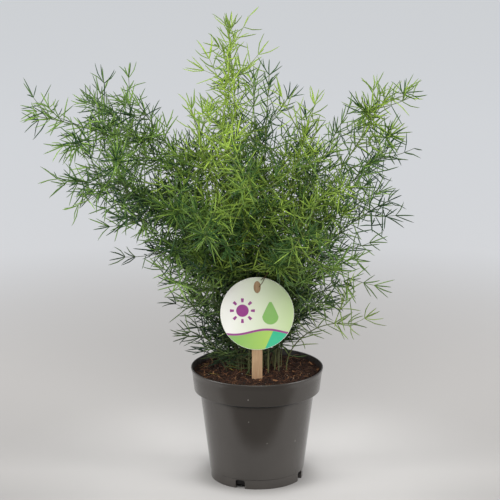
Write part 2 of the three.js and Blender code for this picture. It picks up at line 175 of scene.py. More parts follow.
def scaled(tree, vector, scale):
    return made(tree, "ShaderNodeVectorMath", {0: vector, "Scale": scale}, operation="SCALE")


def levels(tree, value, start, end, low=0.0, high=1.0):
    # low where the value is start, high where it is end, and even between them
    return made(tree, "ShaderNodeMapRange", {0: value, 1: start, 2: end, 3: low, 4: high})


def mixed(tree, factor, first, second):
    values = {0: factor, 6: first, 7: second}
    return put(tree, "ShaderNodeMix", values, data_type="RGBA").outputs[2]


def newGroup(name, kind, inputs, outputs):
    # each input has its default, or else the name of its type, and each output its type
    group = bpy.data.node_groups.new(name, kind)
    types = {float: "Float", int: "Int", tuple: "Color"}
    for label, default in inputs.items():
        socketType = "NodeSocket" + types.get(type(default), default)
        socket = group.interface.new_socket(label, in_out="INPUT", socket_type=socketType)
        if type(default) in types:
            socket.default_value = default
    for label, typeName in outputs.items():
        socketType = "NodeSocket" + typeName
        group.interface.new_socket(label, in_out="OUTPUT", socket_type=socketType)
    given = group.nodes.new("NodeGroupInput").outputs
    return group, given, group.nodes.new("NodeGroupOutput").inputs


def growWith(thing, group, **values):
    # the group as a modifier, its inputs set by identifier before anything is evaluated
    modifier = thing.modifiers.new(group.name, "NODES")
    modifier.node_group = group
    items = [item for item in group.interface.items_tree if item.in_out == "INPUT"]
    identifiers = {item.name: item.identifier for item in items}
    for label, value in values.items():
        modifier[identifiers[label]] = value


def attribute(tree, name, kind="FLOAT"):
    return made(tree, "GeometryNodeInputNamedAttribute", {"Name": name}, data_type=kind)


def stored(tree, geometry, name, value, domain="POINT", kind="FLOAT"):
    values = {"Geometry": geometry, "Name": name, "Value": value}
    return made(tree, "GeometryNodeStoreNamedAttribute", values, data_type=kind, domain=domain)


def randomBetween(tree, low, high, seed):
    # several of its sockets share a name, so the ones in use are picked first
    node = tree.nodes.new("FunctionNodeRandomValue")
    node.data_type = "FLOAT"
    sockets = {socket.name: socket for socket in node.inputs if socket.enabled}
    for name, value in (("Min", low), ("Max", high), ("Seed", seed)):
        join(tree, value, sockets[name])
    return next(socket for socket in node.outputs if socket.enabled)


def swept(tree, curve, profile, scale):
    values = {"Curve": curve, "Profile Curve": profile, "Scale": scale, "Fill Caps": True}
    return made(tree, "GeometryNodeCurveToMesh", values)


def finalShape(tree, geometry, material, out):
    # the end of each tree: instances made real, and the material set
    whole = made(tree, "GeometryNodeRealizeInstances", {"Geometry": geometry})
    values = {"Geometry": whole, "Material": material}
    tree.links.new(made(tree, "GeometryNodeSetMaterial", values), out)


# small helpers for materials

def newMaterial(name, specular=0.5, **plain):
    # a Principled material; what is the same all over is set on the shader's own sockets
    material = bpy.data.materials.new(name)
    material.use_nodes = True
    shader = material.node_tree.nodes["Principled BSDF"]
    shader.inputs["Specular IOR Level"].default_value = specular
    for key, value in plain.items():
        shader.inputs[key].default_value = value
    return material, material.node_tree, shader


def surface(tree, shader, color, rough=None, bump=None):
    # what changes over the surface; bump is a height, its strength and its distance
    tree.links.new(color, shader.inputs["Base Color"])
    if rough is not None:
        tree.links.new(rough, shader.inputs["Roughness"])
    if bump is not None:
        values = dict(zip(("Height", "Strength", "Distance"), bump))
        tree.links.new(made(tree, "ShaderNodeBump", values), shader.inputs["Normal"])


def objectPlace(tree):
    return put(tree, "ShaderNodeTexCoord").outputs["Object"]


def axesOf(tree, vector):
    return put(tree, "ShaderNodeSeparateXYZ", {0: vector}).outputs


def reading(tree, name):
    return put(tree, "ShaderNodeAttribute", attribute_name=name).outputs["Fac"]


# shader groups that several materials share

def makeMottle():
    # soft noise between two levels; the noise itself mostly keeps to 0.3 to 0.7
    inputs = {"Vector": "Vector", "Scale": 100.0, "Detail": 3.0, "Low": 0.0, "High": 1.0}
    group, given, out = newGroup("mottle", "ShaderNodeTree", inputs, {"Value": "Float"})
    values = {name: given[name] for name in ("Vector", "Scale", "Detail")}
    cloud = made(group, "ShaderNodeTexNoise", values)
    group.links.new(levels(group, cloud, 0.3, 0.7, given["Low"], given["High"]), out[0])
    return group


def makeSpecks():
    # a mask of scattered round specks; Share is how many of the cells hold one
    inputs = {"Vector": "Vector", "Scale": 300.0, "Size": 0.2, "Share": 0.1}
    group, given, out = newGroup("specks", "ShaderNodeTree", inputs, {"Mask": "Float"})
    cells = put(group, "ShaderNodeTexVoronoi", {"Vector": given["Vector"], "Scale": given["Scale"]})
    near = maths(group, "LESS_THAN", cells.outputs["Distance"], given["Size"])
    pick = made(group, "ShaderNodeSeparateColor", {"Color": cells.outputs["Color"]})
    chosen = maths(group, "LESS_THAN", pick, given["Share"])
    group.links.new(times(group, near, chosen), out[0])
    return group


# heights in metres, from and to; brightness and roughness are a least value and what noise adds
leaf = {
    "ageSwing": 0.6,  # how much older or younger a needle may look than its twig
    "tipColor": (0.05, 0.052, 0.04, 1),
    "tipDryness": 0.6,
    "tipSharpness": 5.0,
    "barkShare": 0.7,
    "footColor": (0.18, 0.15, 0.05, 1),
    "footShare": 0.7,
    "footHeights": (0.1, 0.15),
    "fineScale": 900.0,
    "broadScale": 28.0,
    "brightness": (1.02, 0.9),
    "shadeHeights": (0.11, 0.29),
    "shade": 0.54,
    "dullHeights": (0.11, 0.22),
    "dullness": 0.84,
    "roughness": (0.36, 0.2),
}


def makeLeafTone():
    # green of a needle or stem, from how young it is and from a draw of its own
    inputs = {"Old": "Color", "Young": "Color", "Bark": "Color"}
    outputs = {"Color": "Color", "Roughness": "Float", "Height": "Float"}
    group, given, out = newGroup("leafTone", "ShaderNodeTree", inputs, outputs)
    draw = reading(group, "shade")
    swing = maths(group, "MULTIPLY_ADD", draw, leaf["ageSwing"], -leaf["ageSwing"] / 2)
    age = levels(group, maths(group, "ADD", reading(group, "youth"), swing), 0.0, 1.0)
    green = mixed(group, age, given["Old"], given["Young"])
    # the very tips are dry and dark
    tip = maths(group, "POWER", reading(group, "along"), leaf["tipSharpness"])
    green = mixed(group, times(group, tip, leaf["tipDryness"]), green, leaf["tipColor"])
    # stems are brown by the soil
    place = objectPlace(group)
    height = axesOf(group, place)["Z"]
    foot = levels(group, height, *leaf["footHeights"], leaf["footShare"], 0.0)
    bark = mixed(group, foot, given["Bark"], leaf["footColor"])
    tone = mixed(group, times(group, reading(group, "stemness"), leaf["barkShare"]), green, bark)
    # painted shade: darker and duller low in the clump
    fine, broad = (
        made(group, "ShaderNodeTexNoise", {"Vector": place, "Scale": leaf[scale], "Detail": 2.0})
        for scale in ("fineScale", "broadScale")
    )
    light = maths(group, "MULTIPLY_ADD", broad, *reversed(leaf["brightness"]))
    shaded = levels(group, height, *leaf["shadeHeights"], leaf["shade"], 1.0)
    dull = levels(group, height, *leaf["dullHeights"], leaf["dullness"], 1.0)
    values = {"Saturation": dull, "Value": times(group, light, shaded), "Color": tone}
    group.links.new(made(group, "ShaderNodeHueSaturation", values), out["Color"])
    rough = maths(group, "MULTIPLY_ADD", fine, *reversed(leaf["roughness"]))
    group.links.new(rough, out["Roughness"])
    group.links.new(fine, out["Height"])
    return group


mottle = makeMottle()
specks = makeSpecks()
leafTone = makeLeafTone()


def mottled(tree, place, scale, low=0.0, high=1.0, detail=3.0):
    values = {"Vector": place, "Scale": scale, "Detail": detail, "Low": low, "High": high}
    return made(tree, "ShaderNodeGroup", values, node_tree=mottle)


def speckled(tree, place, scale, size, share):
    values = {"Vector": place, "Scale": scale, "Size": size, "Share": share}
    return made(tree, "ShaderNodeGroup", values, node_tree=specks)


# pot: sizes in millimetres

pot = {
    "rimRadius": 60,
    "height": 104,
    "wall": 1.3,
    "bandTopRadius": 59,
    "bandRadius": 57.1,
    "bandFoot": 83,
    "lipHeight": 5,
    "shoulderRadius": 51.9,
    "shoulderFoot": 82.5,
    "shadeLineHeight": 2,
    "footRadius": 42.5,
    "footHeight": 8.5,
    "footInset": 0.6,
    "ringWidth": 3.5,
    "recess": 2,
    "padRadius": 20,
    "slots": 4,
    "slotWidth": 9,
    "slotHeight": 8,
    "slotDepth": 7,
    "slotRounding": 0.9,
    "slotTurn": -111.5,
    "segments": 160,
    "color": (0.038, 0.033, 0.029, 1),
    "dustColor": (0.3, 0.28, 0.25, 1),
    "insideDarkColor": (0.02, 0.012, 0.008, 1),
    # painted shade: the colour of the line under the band
    "shadeLineColor": (0.004, 0.004, 0.004, 1),
    "gloss": 0.7,
    "polish": (0.12, 0.16),  # roughness from streak to streak
    "streakScale": (260.0, 260.0, 14.0),
    "fleckStrength": 0.8,
    "mattness": 0.7,  # more roughness where there is dust, on the darker inside of the wall, and along the painted shade under the band
    "dust": (0.35, 0.25, 0.03),  # all over, more of it at the foot, and up to this many metres
}


def slotCutter():
    # one block with rounded upper edges for each drain slot
    shape = bmesh.new()
    size = (2 * pot["slotDepth"] * mm, pot["slotWidth"] * mm, 2 * pot["slotHeight"] * mm, 1)
    outwards = Matrix.Translation((pot["footRadius"] * mm, 0, 0)) @ Matrix.Diagonal(size)
    for i in range(pot["slots"]):
        turn = Matrix.Rotation(math.radians(pot["slotTurn"] + i * 360 / pot["slots"]), 4, "Z")
        block = bmesh.ops.create_cube(shape, size=1, matrix=turn @ outwards)
        upper = {edge for vert in block["verts"] for edge in vert.link_edges if vert.co.z > 0}
        rounding = pot["slotRounding"] * mm
        bmesh.ops.bevel(shape, geom=list(upper), offset=rounding, segments=3, affect="EDGES")
    mesh = bpy.data.meshes.new("slotCutter")
    shape.to_mesh(mesh)
    shape.free()
    return newObject("slotCutter", mesh)


def makePot():
    wall, foot, recess = pot["wall"], pot["footRadius"], pot["recess"]
    ring = foot - pot["footInset"]
    innerRing = ring - pot["ringWidth"]
    lipFoot = pot["height"] - pot["lipHeight"]
    profile = [
        (0, 0, 0),
        (pot["padRadius"], 0, 0.5),
        (pot["padRadius"] + recess, recess, 0.5),
        (innerRing - recess, recess, 0.8),
        (innerRing, 0, 0.3),
        (ring, 0, 0.5),
        (ring, pot["footHeight"], 0.15),
        (foot + pot["footInset"] / 2, pot["footHeight"] + pot["footInset"], 0.4),
        (pot["shoulderRadius"], pot["shoulderFoot"], 0.4),
        (pot["bandRadius"], pot["bandFoot"], 0.45),
        (pot["bandTopRadius"], lipFoot, 1.6),
        (pot["rimRadius"], pot["height"] - wall, 0.5),
        (pot["rimRadius"], pot["height"], 0.5),
        (pot["rimRadius"] - wall, pot["height"], 0.5),
        (pot["bandTopRadius"] - wall, lipFoot, 2),
        (pot["bandRadius"] - wall, pot["bandFoot"] + wall, 0.8),
        (pot["shoulderRadius"] - wall, pot["shoulderFoot"] + wall, 0.8),
        (ring - wall, recess + wall, 2),
        (0, recess + wall, 0),
    ]
    shell = newObject("potBlank", turnedMesh("potBlank", softCorners(profile), pot["segments"]))
    cutter = slotCutter()
    cut = shell.modifiers.new("slots", "BOOLEAN")
    cut.object = cutter
    cut.solver = "EXACT"
    piece = finished(shell, "nurseryPot")
    bpy.data.objects.remove(cutter)
    smoothByAngle(piece.data, degrees=40)
    inside = []
    for face in piece.data.polygons:
        centre, normal = face.center, face.normal
        facesAxis = centre.x * normal.x + centre.y * normal.y < 0
        inside.append(1.0 if facesAxis and centre.z > pot["shoulderFoot"] * mm else 0.0)
    piece.data.attributes.new("inside", "FLOAT", "FACE").data.foreach_set("value", inside)
    return piece


def potMaterial():
    material, tree, shader = newMaterial("potPlastic", pot["gloss"])
    place = objectPlace(tree)
    height = axesOf(tree, place)["Z"]
    along = made(tree, "ShaderNodeMapping", {"Vector": place, "Scale": pot["streakScale"]})
    streaks = mottled(tree, along, 1.0, *pot["polish"])
    allOver, more, reach = pot["dust"]
    dusty = maths(tree, "ADD", levels(tree, height, reach, 0.0, 0.0, more), allOver)
    worn = times(tree, dusty, mottled(tree, place, 22.0, high=0.07))
    flecks = speckled(tree, place, scale=120.0, size=0.055, share=0.16)
    dust = maths(tree, "MAXIMUM", worn, times(tree, flecks, pot["fleckStrength"]))
    outside = mixed(tree, dust, pot["color"], pot["dustColor"])
    # painted shade: a dark, dull line on the wall just under the band
    top = pot["shoulderFoot"] * mm
    belowTop = maths(tree, "LESS_THAN", height, top)
    under = times(tree, belowTop, maths(tree, "GREATER_THAN", height, top - pot["shadeLineHeight"] * mm))
    outside = mixed(tree, under, outside, pot["shadeLineColor"])
    # the inside of the wall above the shoulder is darker, in mottled patches
    clods = mottled(tree, place, 300.0, low=0.5, detail=4.0)
    insideDark = times(tree, reading(tree, "inside"), clods)
    color = mixed(tree, insideDark, outside, pot["insideDarkColor"])
    matt = maths(tree, "MAXIMUM", maths(tree, "MAXIMUM", dust, insideDark), under)
    rough = maths(tree, "ADD", streaks, times(tree, matt, pot["mattness"]))
    grain = mottled(tree, place, 2600.0, detail=2.0)
    surface(tree, shader, color, rough, (grain, 0.12, 0.0002))
    return material


potPiece = makePot()
potPiece.data.materials.append(potMaterial())
dress(potPiece, "pot", "pot")
print("pot made")


# soil: sizes in millimetres

soil = {
    "level": 99.6,
    "mound": 1.6,
    "crumb": 1.1,
    "fineCrumb": 0.8,
    "fineCrumbScale": 0.42,
    "fineCrumbNoise": (0.8, 2.1, 4),  # its fractal increment, step between scales, and how many
    "lump": 1.3,
    "lumpScale": 0.16,
    "clod": 0.9,
    "clodScale": 0.34,
    "wallGap": 0.2,
    "rimGap": 0.2,
    "rings": 66,
    "segments": 190,
    "floor": 3.6,
    "darkColor": (0.011, 0.006, 0.004, 1),
    "brownColor": (0.038, 0.017, 0.01, 1),
    "redColor": (0.11, 0.038, 0.018, 1),
    "gritColor": (0.5, 0.45, 0.38, 1),
    "lowDarkColor": (0.003, 0.002, 0.002, 1),
    "darkeningHeights": (0.03, 0.015),  # in metres, from where the peat starts to darken to where it is darkest, behind the drain slots
}


def soilHeight(x, y, reach):
    # the frame's slow waves with crumbs on top; x, y in millimetres, reach the top's radius
    swell = soil["mound"] * (1 - (x * x + y * y) / (reach * reach))
    waves = math.sin(0.9 * x + 2.1 * math.sin(0.6 * y)) * math.cos(1.1 * y + 1.7 * math.sin(0.5 * x))
    crumbs = noise.fractal(Vector((x, y, 3.7)) * soil["fineCrumbScale"], *soil["fineCrumbNoise"])
    lumps = noise.noise(Vector((x, y, 9.1)) * soil["lumpScale"])
    clods = noise.noise(Vector((x, y, 5.3)) * soil["clodScale"])
    shape = 0.45 * soil["crumb"] * waves + soil["fineCrumb"] * crumbs
    shape = shape + soil["lump"] * lumps + soil["clod"] * clods
    return soil["level"] - soil["mound"] / 2 + swell + shape


def makeSoil():
    gap = soil["wallGap"]
    inner = pot["wall"] + gap
    reach = pot["bandTopRadius"] - inner
    edge = reach - soil["rimGap"]
    profile = [
        (0, soil["floor"]),
        (pot["footRadius"] - pot["footInset"] - inner, soil["floor"]),
        (pot["shoulderRadius"] - inner, pot["shoulderFoot"] + pot["wall"] + gap),
        (pot["bandRadius"] - inner, pot["bandFoot"] + pot["wall"] + gap),
        (edge, soil["level"] - soil["crumb"] - 1),
    ]
    side = len(profile)
    for i in range(soil["rings"], -1, -1):
        profile.append((edge * i / soil["rings"], soil["level"]))
    mesh = turnedMesh("peatBlock", profile, soil["segments"])
    firstTop = 1 + (side - 1) * soil["segments"]
    for vertex in mesh.vertices[firstTop:]:
        vertex.co.z = soilHeight(vertex.co.x / mm, vertex.co.y / mm, reach) * mm
    smoothByAngle(mesh, degrees=50)
    return newObject("peatBlock", mesh)


def soilMaterial():
    material, tree, shader = newMaterial("peat", specular=0.25)
    place = objectPlace(tree)
    coarse = mottled(tree, place, 260.0, detail=5.0)
    fine = mottled(tree, place, 1500.0, high=0.8, detail=4.0)
    patches = mottled(tree, place, 95.0, low=0.1, detail=4.0)
    color = mixed(tree, times(tree, coarse, patches), soil["darkColor"], soil["brownColor"])
    color = mixed(tree, times(tree, fine, coarse), color, soil["redColor"])
    grit = speckled(tree, place, scale=420.0, size=0.16, share=0.02)
    color = mixed(tree, grit, color, soil["gritColor"])
    # darker towards the bottom, where the peat shows behind the drain slots
    deep = levels(tree, axesOf(tree, place)["Z"], *soil["darkeningHeights"])
    color = mixed(tree, deep, color, soil["lowDarkColor"])
    damp = mottled(tree, place, 70.0, low=0.62, high=0.95)
    surface(tree, shader, color, damp, (maths(tree, "ADD", coarse, fine), 0.9, 0.0006))
    return material


soilPiece = makeSoil()
soilPiece.data.materials.append(soilMaterial())
dress(soilPiece, "soil", "soil")
print("soil made")


# litter on the soil: each kind is scattered over the top of the peat by one node tree

# pieces per square metre, sizes in millimetres and lean in radians; 0 sides makes lumps
litterValues = (
    "Density", "Length", "Width", "Lift", "Bend", "Lean", "Smallest", "Largest", "Seed", "sides",
)
litter = {
    "peatCrumbs": (150000.0, 1.5, 1.2, 0.1, 0.0, 1.5, 0.5, 1.5, 11, 0),
    "peatFibres": (70000.0, 7, 0.35, 0.5, 0.34, 0.28, 0.45, 1.45, 23, 4),
    "barkChips": (16000.0, 4.6, 1.6, 0.5, 0.1, 0.35, 0.45, 1.3, 37, 3),
    "paleHusks": (2600.0, 10, 0.55, 0.9, 0.7, 0.3, 0.5, 1.2, 29, 4),
    "fallenNeedles": (500.0, 13, 1.3, 1.1, 0.12, 0.25, 0.6, 1.2, 61, 3),
    "paleGrit": (2600.0, 0.9, 0.8, 0.3, 0.0, 1.5, 0.5, 1.3, 41, 0),
}
# dark and light tone, roughness, and how rare the light ones are
litterTones = {
    "peatCrumbs": ((0.005, 0.003, 0.002, 1), (0.06, 0.026, 0.015, 1), 0.85, 3.0),
    "peatFibres": ((0.012, 0.005, 0.0035, 1), (0.36, 0.16, 0.07, 1), 0.7, 3.2),
    "barkChips": ((0.012, 0.006, 0.004, 1), (0.3, 0.14, 0.06, 1), 0.75, 2.6),
    "paleHusks": ((0.16, 0.07, 0.03, 1), (0.55, 0.33, 0.17, 1), 0.7, 1.6),
    "fallenNeedles": ((0.1, 0.07, 0.02, 1), (0.36, 0.27, 0.05, 1), 0.6, 1.2),
    "paleGrit": ((0.2, 0.15, 0.1, 1), (0.7, 0.66, 0.58, 1), 0.8, 1.0),
}
litterForm = {
    "stripSteps": 4,
    "stripFlatness": 0.5,
    "stripTaper": (2.5, 0.35),  # radians of the wave that its width follows, and the first one
    "lumpScale": 1400.0,
    "lumpiness": (1.5, -0.55),
    "slimness": (0.6, 1.1),
}
# where it may lie, in millimetres, and how level the peat must be there, with 1 as flat
litterReach = {"farthest": 55.2, "wallGap": 0.4, "depth": 5, "levelness": 0.2}


def litterStrip(tree, given, sides):
    # a bent strip, widest in the middle
    half = times(tree, given["Length"], 0.5)
    values = {
        "Resolution": litterForm["stripSteps"],
        "Start": xyz(tree, y=times(tree, half, -1.0)),
        "Middle": xyz(tree, x=times(tree, given["Length"], given["Bend"])),
        "End": xyz(tree, y=half),
    }
    line = made(tree, "GeometryNodeCurveQuadraticBezier", values)
    factor = made(tree, "GeometryNodeSplineParameter")
    wave = maths(tree, "MULTIPLY_ADD", factor, *litterForm["stripTaper"])
    circle = made(tree, "GeometryNodeCurvePrimitiveCircle", {"Resolution": sides, "Radius": 0.5})
    values = {"Geometry": circle, "Scale": (1.0, litterForm["stripFlatness"], 1.0)}
    flat = made(tree, "GeometryNodeTransform", values)
    return swept(tree, line, flat, times(tree, maths(tree, "SINE", wave), given["Width"]))


def litterLump(tree, given):
    # an uneven ball
    values = {"Radius": times(tree, given["Width"], 0.5), "Subdivisions": 1}
    ball = made(tree, "GeometryNodeMeshIcoSphere", values)
    where = made(tree, "GeometryNodeInputPosition")
    values = {"Vector": where, "Scale": litterForm["lumpScale"], "Detail": 1.0}
    lumpy = made(tree, "ShaderNodeTexNoise", values)
    offset = scaled(tree, where, maths(tree, "MULTIPLY_ADD", lumpy, *litterForm["lumpiness"]))
    return made(tree, "GeometryNodeSetPosition", {"Geometry": ball, "Offset": offset})


def makeLitterTree(name, sides):
    inputs = {"Geometry": "Geometry", "Material": "Material", "Seed": 0}
    inputs |= {value: 0.0 for value in litterValues if value not in ("Seed", "sides")}
    tree, given, out = newGroup(name, "GeometryNodeTree", inputs, {"Geometry": "Geometry"})
    shape = litterStrip(tree, given, sides) if sides else litterLump(tree, given)
    values = {
        "Mesh": given["Geometry"],
        "Selection": attribute(tree, "isTop"),
        "Density": given["Density"],
        "Seed": given["Seed"],
    }
    points = put(tree, "GeometryNodeDistributePointsOnFaces", values, distribute_method="RANDOM")
    lean, back = given["Lean"], times(tree, given["Lean"], -1.0)
    spin = xyz(
        tree,
        randomBetween(tree, back, lean, 1),
        randomBetween(tree, back, lean, 2),
        randomBetween(tree, -math.pi, math.pi, 3),
    )
    turn = made(tree, "FunctionNodeEulerToRotation", {0: spin})
    values = {0: points.outputs["Rotation"], 1: turn}
    turned = made(tree, "FunctionNodeRotateRotation", values, rotation_space="LOCAL")
    size = randomBetween(tree, given["Smallest"], given["Largest"], 4)
    slim = times(tree, size, randomBetween(tree, *litterForm["slimness"], 5))
    values = {
        "Points": points.outputs["Points"],
        "Instance": shape,
        "Rotation": turned,
        "Scale": xyz(tree, slim, size, slim),
    }
    placed = made(tree, "GeometryNodeInstanceOnPoints", values)
    values = {"Instances": placed, "Translation": xyz(tree, z=given["Lift"]), "Local Space": False}
    raised = made(tree, "GeometryNodeTranslateInstances", values)
    shaded = stored(tree, raised, "shade", randomBetween(tree, 0.0, 1.0, 6), "INSTANCE")
    finalShape(tree, shaded, given["Material"], out[0])
    return tree


def litterMaterial(name):
    # each piece has a tone of its own between dark and light
    dark, light, roughness, rareness = litterTones[name]
    material, tree, shader = newMaterial(name, specular=0.3)
    flecks = mottled(tree, objectPlace(tree), 1300.0, low=-0.18, high=0.18)
    tone = maths(tree, "POWER", reading(tree, "shade"), rareness)
    tone = levels(tree, maths(tree, "ADD", tone, flecks), 0.0, 1.0)
    rough = maths(tree, "MULTIPLY_ADD", flecks, 0.4, roughness)
    surface(tree, shader, mixed(tree, tone, dark, light), rough, (flecks, 0.6, 0.0004))
    return material


def scatterLitter(name):
    values = dict(zip(litterValues, litter[name]))
    # no piece may reach through the pot's wall
    halfLength = values["Length"] * values["Largest"] / 2
    reach = min(litterReach["farthest"], pot["bandTopRadius"] - litterReach["wallGap"] - halfLength)
    carrier = newObject(name + "Carrier", soilPiece.data.copy())
    isTop = [
        face.center.z > (soil["level"] - litterReach["depth"]) * mm
        and face.normal.z > litterReach["levelness"]
        and math.hypot(face.center.x, face.center.y) < reach * mm
        for face in carrier.data.polygons
    ]
    carrier.data.attributes.new("isTop", "BOOLEAN", "FACE").data.foreach_set("value", isTop)
    tree = makeLitterTree(name, values.pop("sides"))
    for size in ("Length", "Width", "Lift"):
        values[size] *= mm
    growWith(carrier, tree, **values, Material=litterMaterial(name))
    piece = finished(carrier, name)
    smoothByAngle(piece.data, degrees=60)
    dress(piece, "soil")


for litterName in litter:
    scatterLitter(litterName)
print("litter scattered")


# label: a stick and a disc in a leaning plane; sizes in millimetres

label = {
    "footY": -27,
    "lean": 6,
    "discRadius": 33,
    "discHeight": 60.5,
    "discThickness": 0.8,
    "holeWidth": 6.4,
    "holeHeight": 11,
    "holeDrop": 9,
    "stickWidth": 9.4,
    "stickThickness": 2,
    "stickTop": 91,
    "stickDepth": 52,
    "faceGap": 0.3,
    "stickBevel": 0.35,
    "discBevel": 0.14,
    "segments": 96,
    "stickEndSegments": 24,
    "holeSegments": 36,
    "woodColor": (0.46, 0.31, 0.175, 1),
    "grainColor": (0.34, 0.21, 0.11, 1),
    "stainColor": (0.28, 0.17, 0.1, 1),
    "lowDarkColor": (0.24, 0.12, 0.06, 1),
    "wetHeight": 9,
    "grainScale": (900.0, 900.0, 26.0),
}
labelFoot = Matrix.Translation((0, label["footY"] * mm, soil["level"] * mm))
labelPlane = labelFoot @ Matrix.Rotation(math.radians(-label["lean"]), 4, "X")


def slabMesh(name, outlines, front, back, bevel):
    # outlines in the label's plane, the first one the edge and the rest holes, given a thickness
    shape = bmesh.new()
    for outline in outlines:
        corners = [shape.verts.new((x * mm, back * mm, z * mm)) for x, z in outline]
        for a, b in zip(corners, corners[1:] + corners[:1]):
            shape.edges.new((a, b))
    bmesh.ops.triangle_fill(shape, use_beauty=True, edges=shape.edges[:])
    bmesh.ops.recalc_face_normals(shape, faces=shape.faces[:])
    thick = bmesh.ops.extrude_face_region(shape, geom=shape.faces[:])
    moved = [part for part in thick["geom"] if isinstance(part, bmesh.types.BMVert)]
    bmesh.ops.translate(shape, verts=moved, vec=(0, (front - back) * mm, 0))
    bmesh.ops.recalc_face_normals(shape, faces=shape.faces[:])
    rims = [edge for edge in shape.edges if edge.calc_face_angle(0) > math.radians(60)]
    values = {"offset": bevel * mm, "segments": 2, "affect": "EDGES", "clamp_overlap": True}
    bmesh.ops.bevel(shape, geom=rims, **values)
    mesh = bpy.data.meshes.new(name)
    shape.to_mesh(mesh)
    shape.free()
    uv = mesh.uv_layers.new(name="face")
    across = 2 * label["discRadius"] * mm
    middle = label["discHeight"] * mm
    for loop in mesh.loops:
        point = mesh.vertices[loop.vertex_index].co
        uv.data[loop.index].uv = (point.x / across + 0.5, (point.z - middle) / across + 0.5)
    mesh.transform(labelPlane)
    smoothByAngle(mesh, degrees=30)
    return mesh


def arcPoints(width, height, centre, count, whole=2 * math.pi):
    # points on an oval about (0, centre); whole is the angle that count steps go round
    angles = [whole * i / count for i in range(count)]
    return [(width / 2 * math.cos(a), centre + height / 2 * math.sin(a)) for a in angles]


def makeStick():
    width, depth = label["stickWidth"], label["stickDepth"]
    outline = [(-width / 2, -depth), (width / 2, -depth)]
    endCentre = label["stickTop"] - width / 2
    outline += arcPoints(width, width, endCentre, label["stickEndSegments"], math.pi)
    outline.append((-width / 2, endCentre))
    thick = label["stickThickness"] / 2
    mesh = slabMesh("labelStick", [outline], -thick, thick, label["stickBevel"])
    return newObject("labelStick", mesh)


def makeDisc():
    size = 2 * label["discRadius"]
    edge = arcPoints(size, size, label["discHeight"], label["segments"])
    holeCentre = label["discHeight"] + label["discRadius"] - label["holeDrop"]
    holeSize = label["holeWidth"], label["holeHeight"]
    hole = arcPoints(*holeSize, holeCentre, label["holeSegments"])
    back = -label["stickThickness"] / 2 - label["faceGap"]
    front = back - label["discThickness"]
    mesh = slabMesh("labelDisc", [edge, hole], front, back, label["discBevel"])
    return newObject("labelDisc", mesh)


def stickMaterial():
    material, tree, shader = newMaterial("paleWood", specular=0.35)
    place = objectPlace(tree)
    along = made(tree, "ShaderNodeMapping", {"Vector": place, "Scale": label["grainScale"]})
    grain = mottled(tree, along, 1.0, detail=5.0)
    color = mixed(tree, grain, label["woodColor"], label["grainColor"])
    color = mixed(tree, mottled(tree, place, 60.0, high=0.35), color, label["stainColor"])
    wetTop = (soil["level"] + label["wetHeight"]) * mm
    wet = levels(tree, axesOf(tree, place)["Z"], wetTop, soil["level"] * mm, 0.0, 0.5)
    color = mixed(tree, wet, color, label["lowDarkColor"])
    rough = maths(tree, "MULTIPLY_ADD", grain, 0.15, 0.6)
    surface(tree, shader, color, rough, (grain, 0.35, 0.0003))
    return material


# the disc's print: places and sizes as shares of its width, from its middle
art = {
    "cream": (0.83, 0.82, 0.76, 1),
    "paleGreen": (0.51, 0.64, 0.32, 1),
    "leafGreen": (0.22, 0.45, 0.11, 1),
    "hillGreen": (0.42, 0.62, 0.1, 1),
    "teal": (0.03, 0.47, 0.25, 1),
    "purple": (0.28, 0.035, 0.22, 1),
    "edgeColor": (0.8, 0.8, 0.74, 1),
    "fadeColor": (0.55, 0.55, 0.45, 1),
    "groundTones": (1.2, 0.45),  # how fast cream turns to green across, and how far in the middle
    "hillTones": (1.5, 0.5),
    "hillLevel": -0.27,
    "hillWave": 0.035,
    "waves": (7.0, 0.6),
    "tealSide": (1.1, -0.36),
    "stripe": 0.03,
    "sunPlace": (-0.2, 0.04),
    "sunRadius": 0.085,
    "rays": 8.0,
    "rayReach": (1.35, 2.0),
    "rayGap": 0.55,
    "dropPlace": (0.18, -0.04),
    "dropRadius": 0.11,
    "dropTip": 0.22,
    "dropTop": 0.2,
    "dropTaper": 0.85,
    "softness": 0.0015,
    "overlap": 0.004,
    "edgeRadius": 0.4955,
}


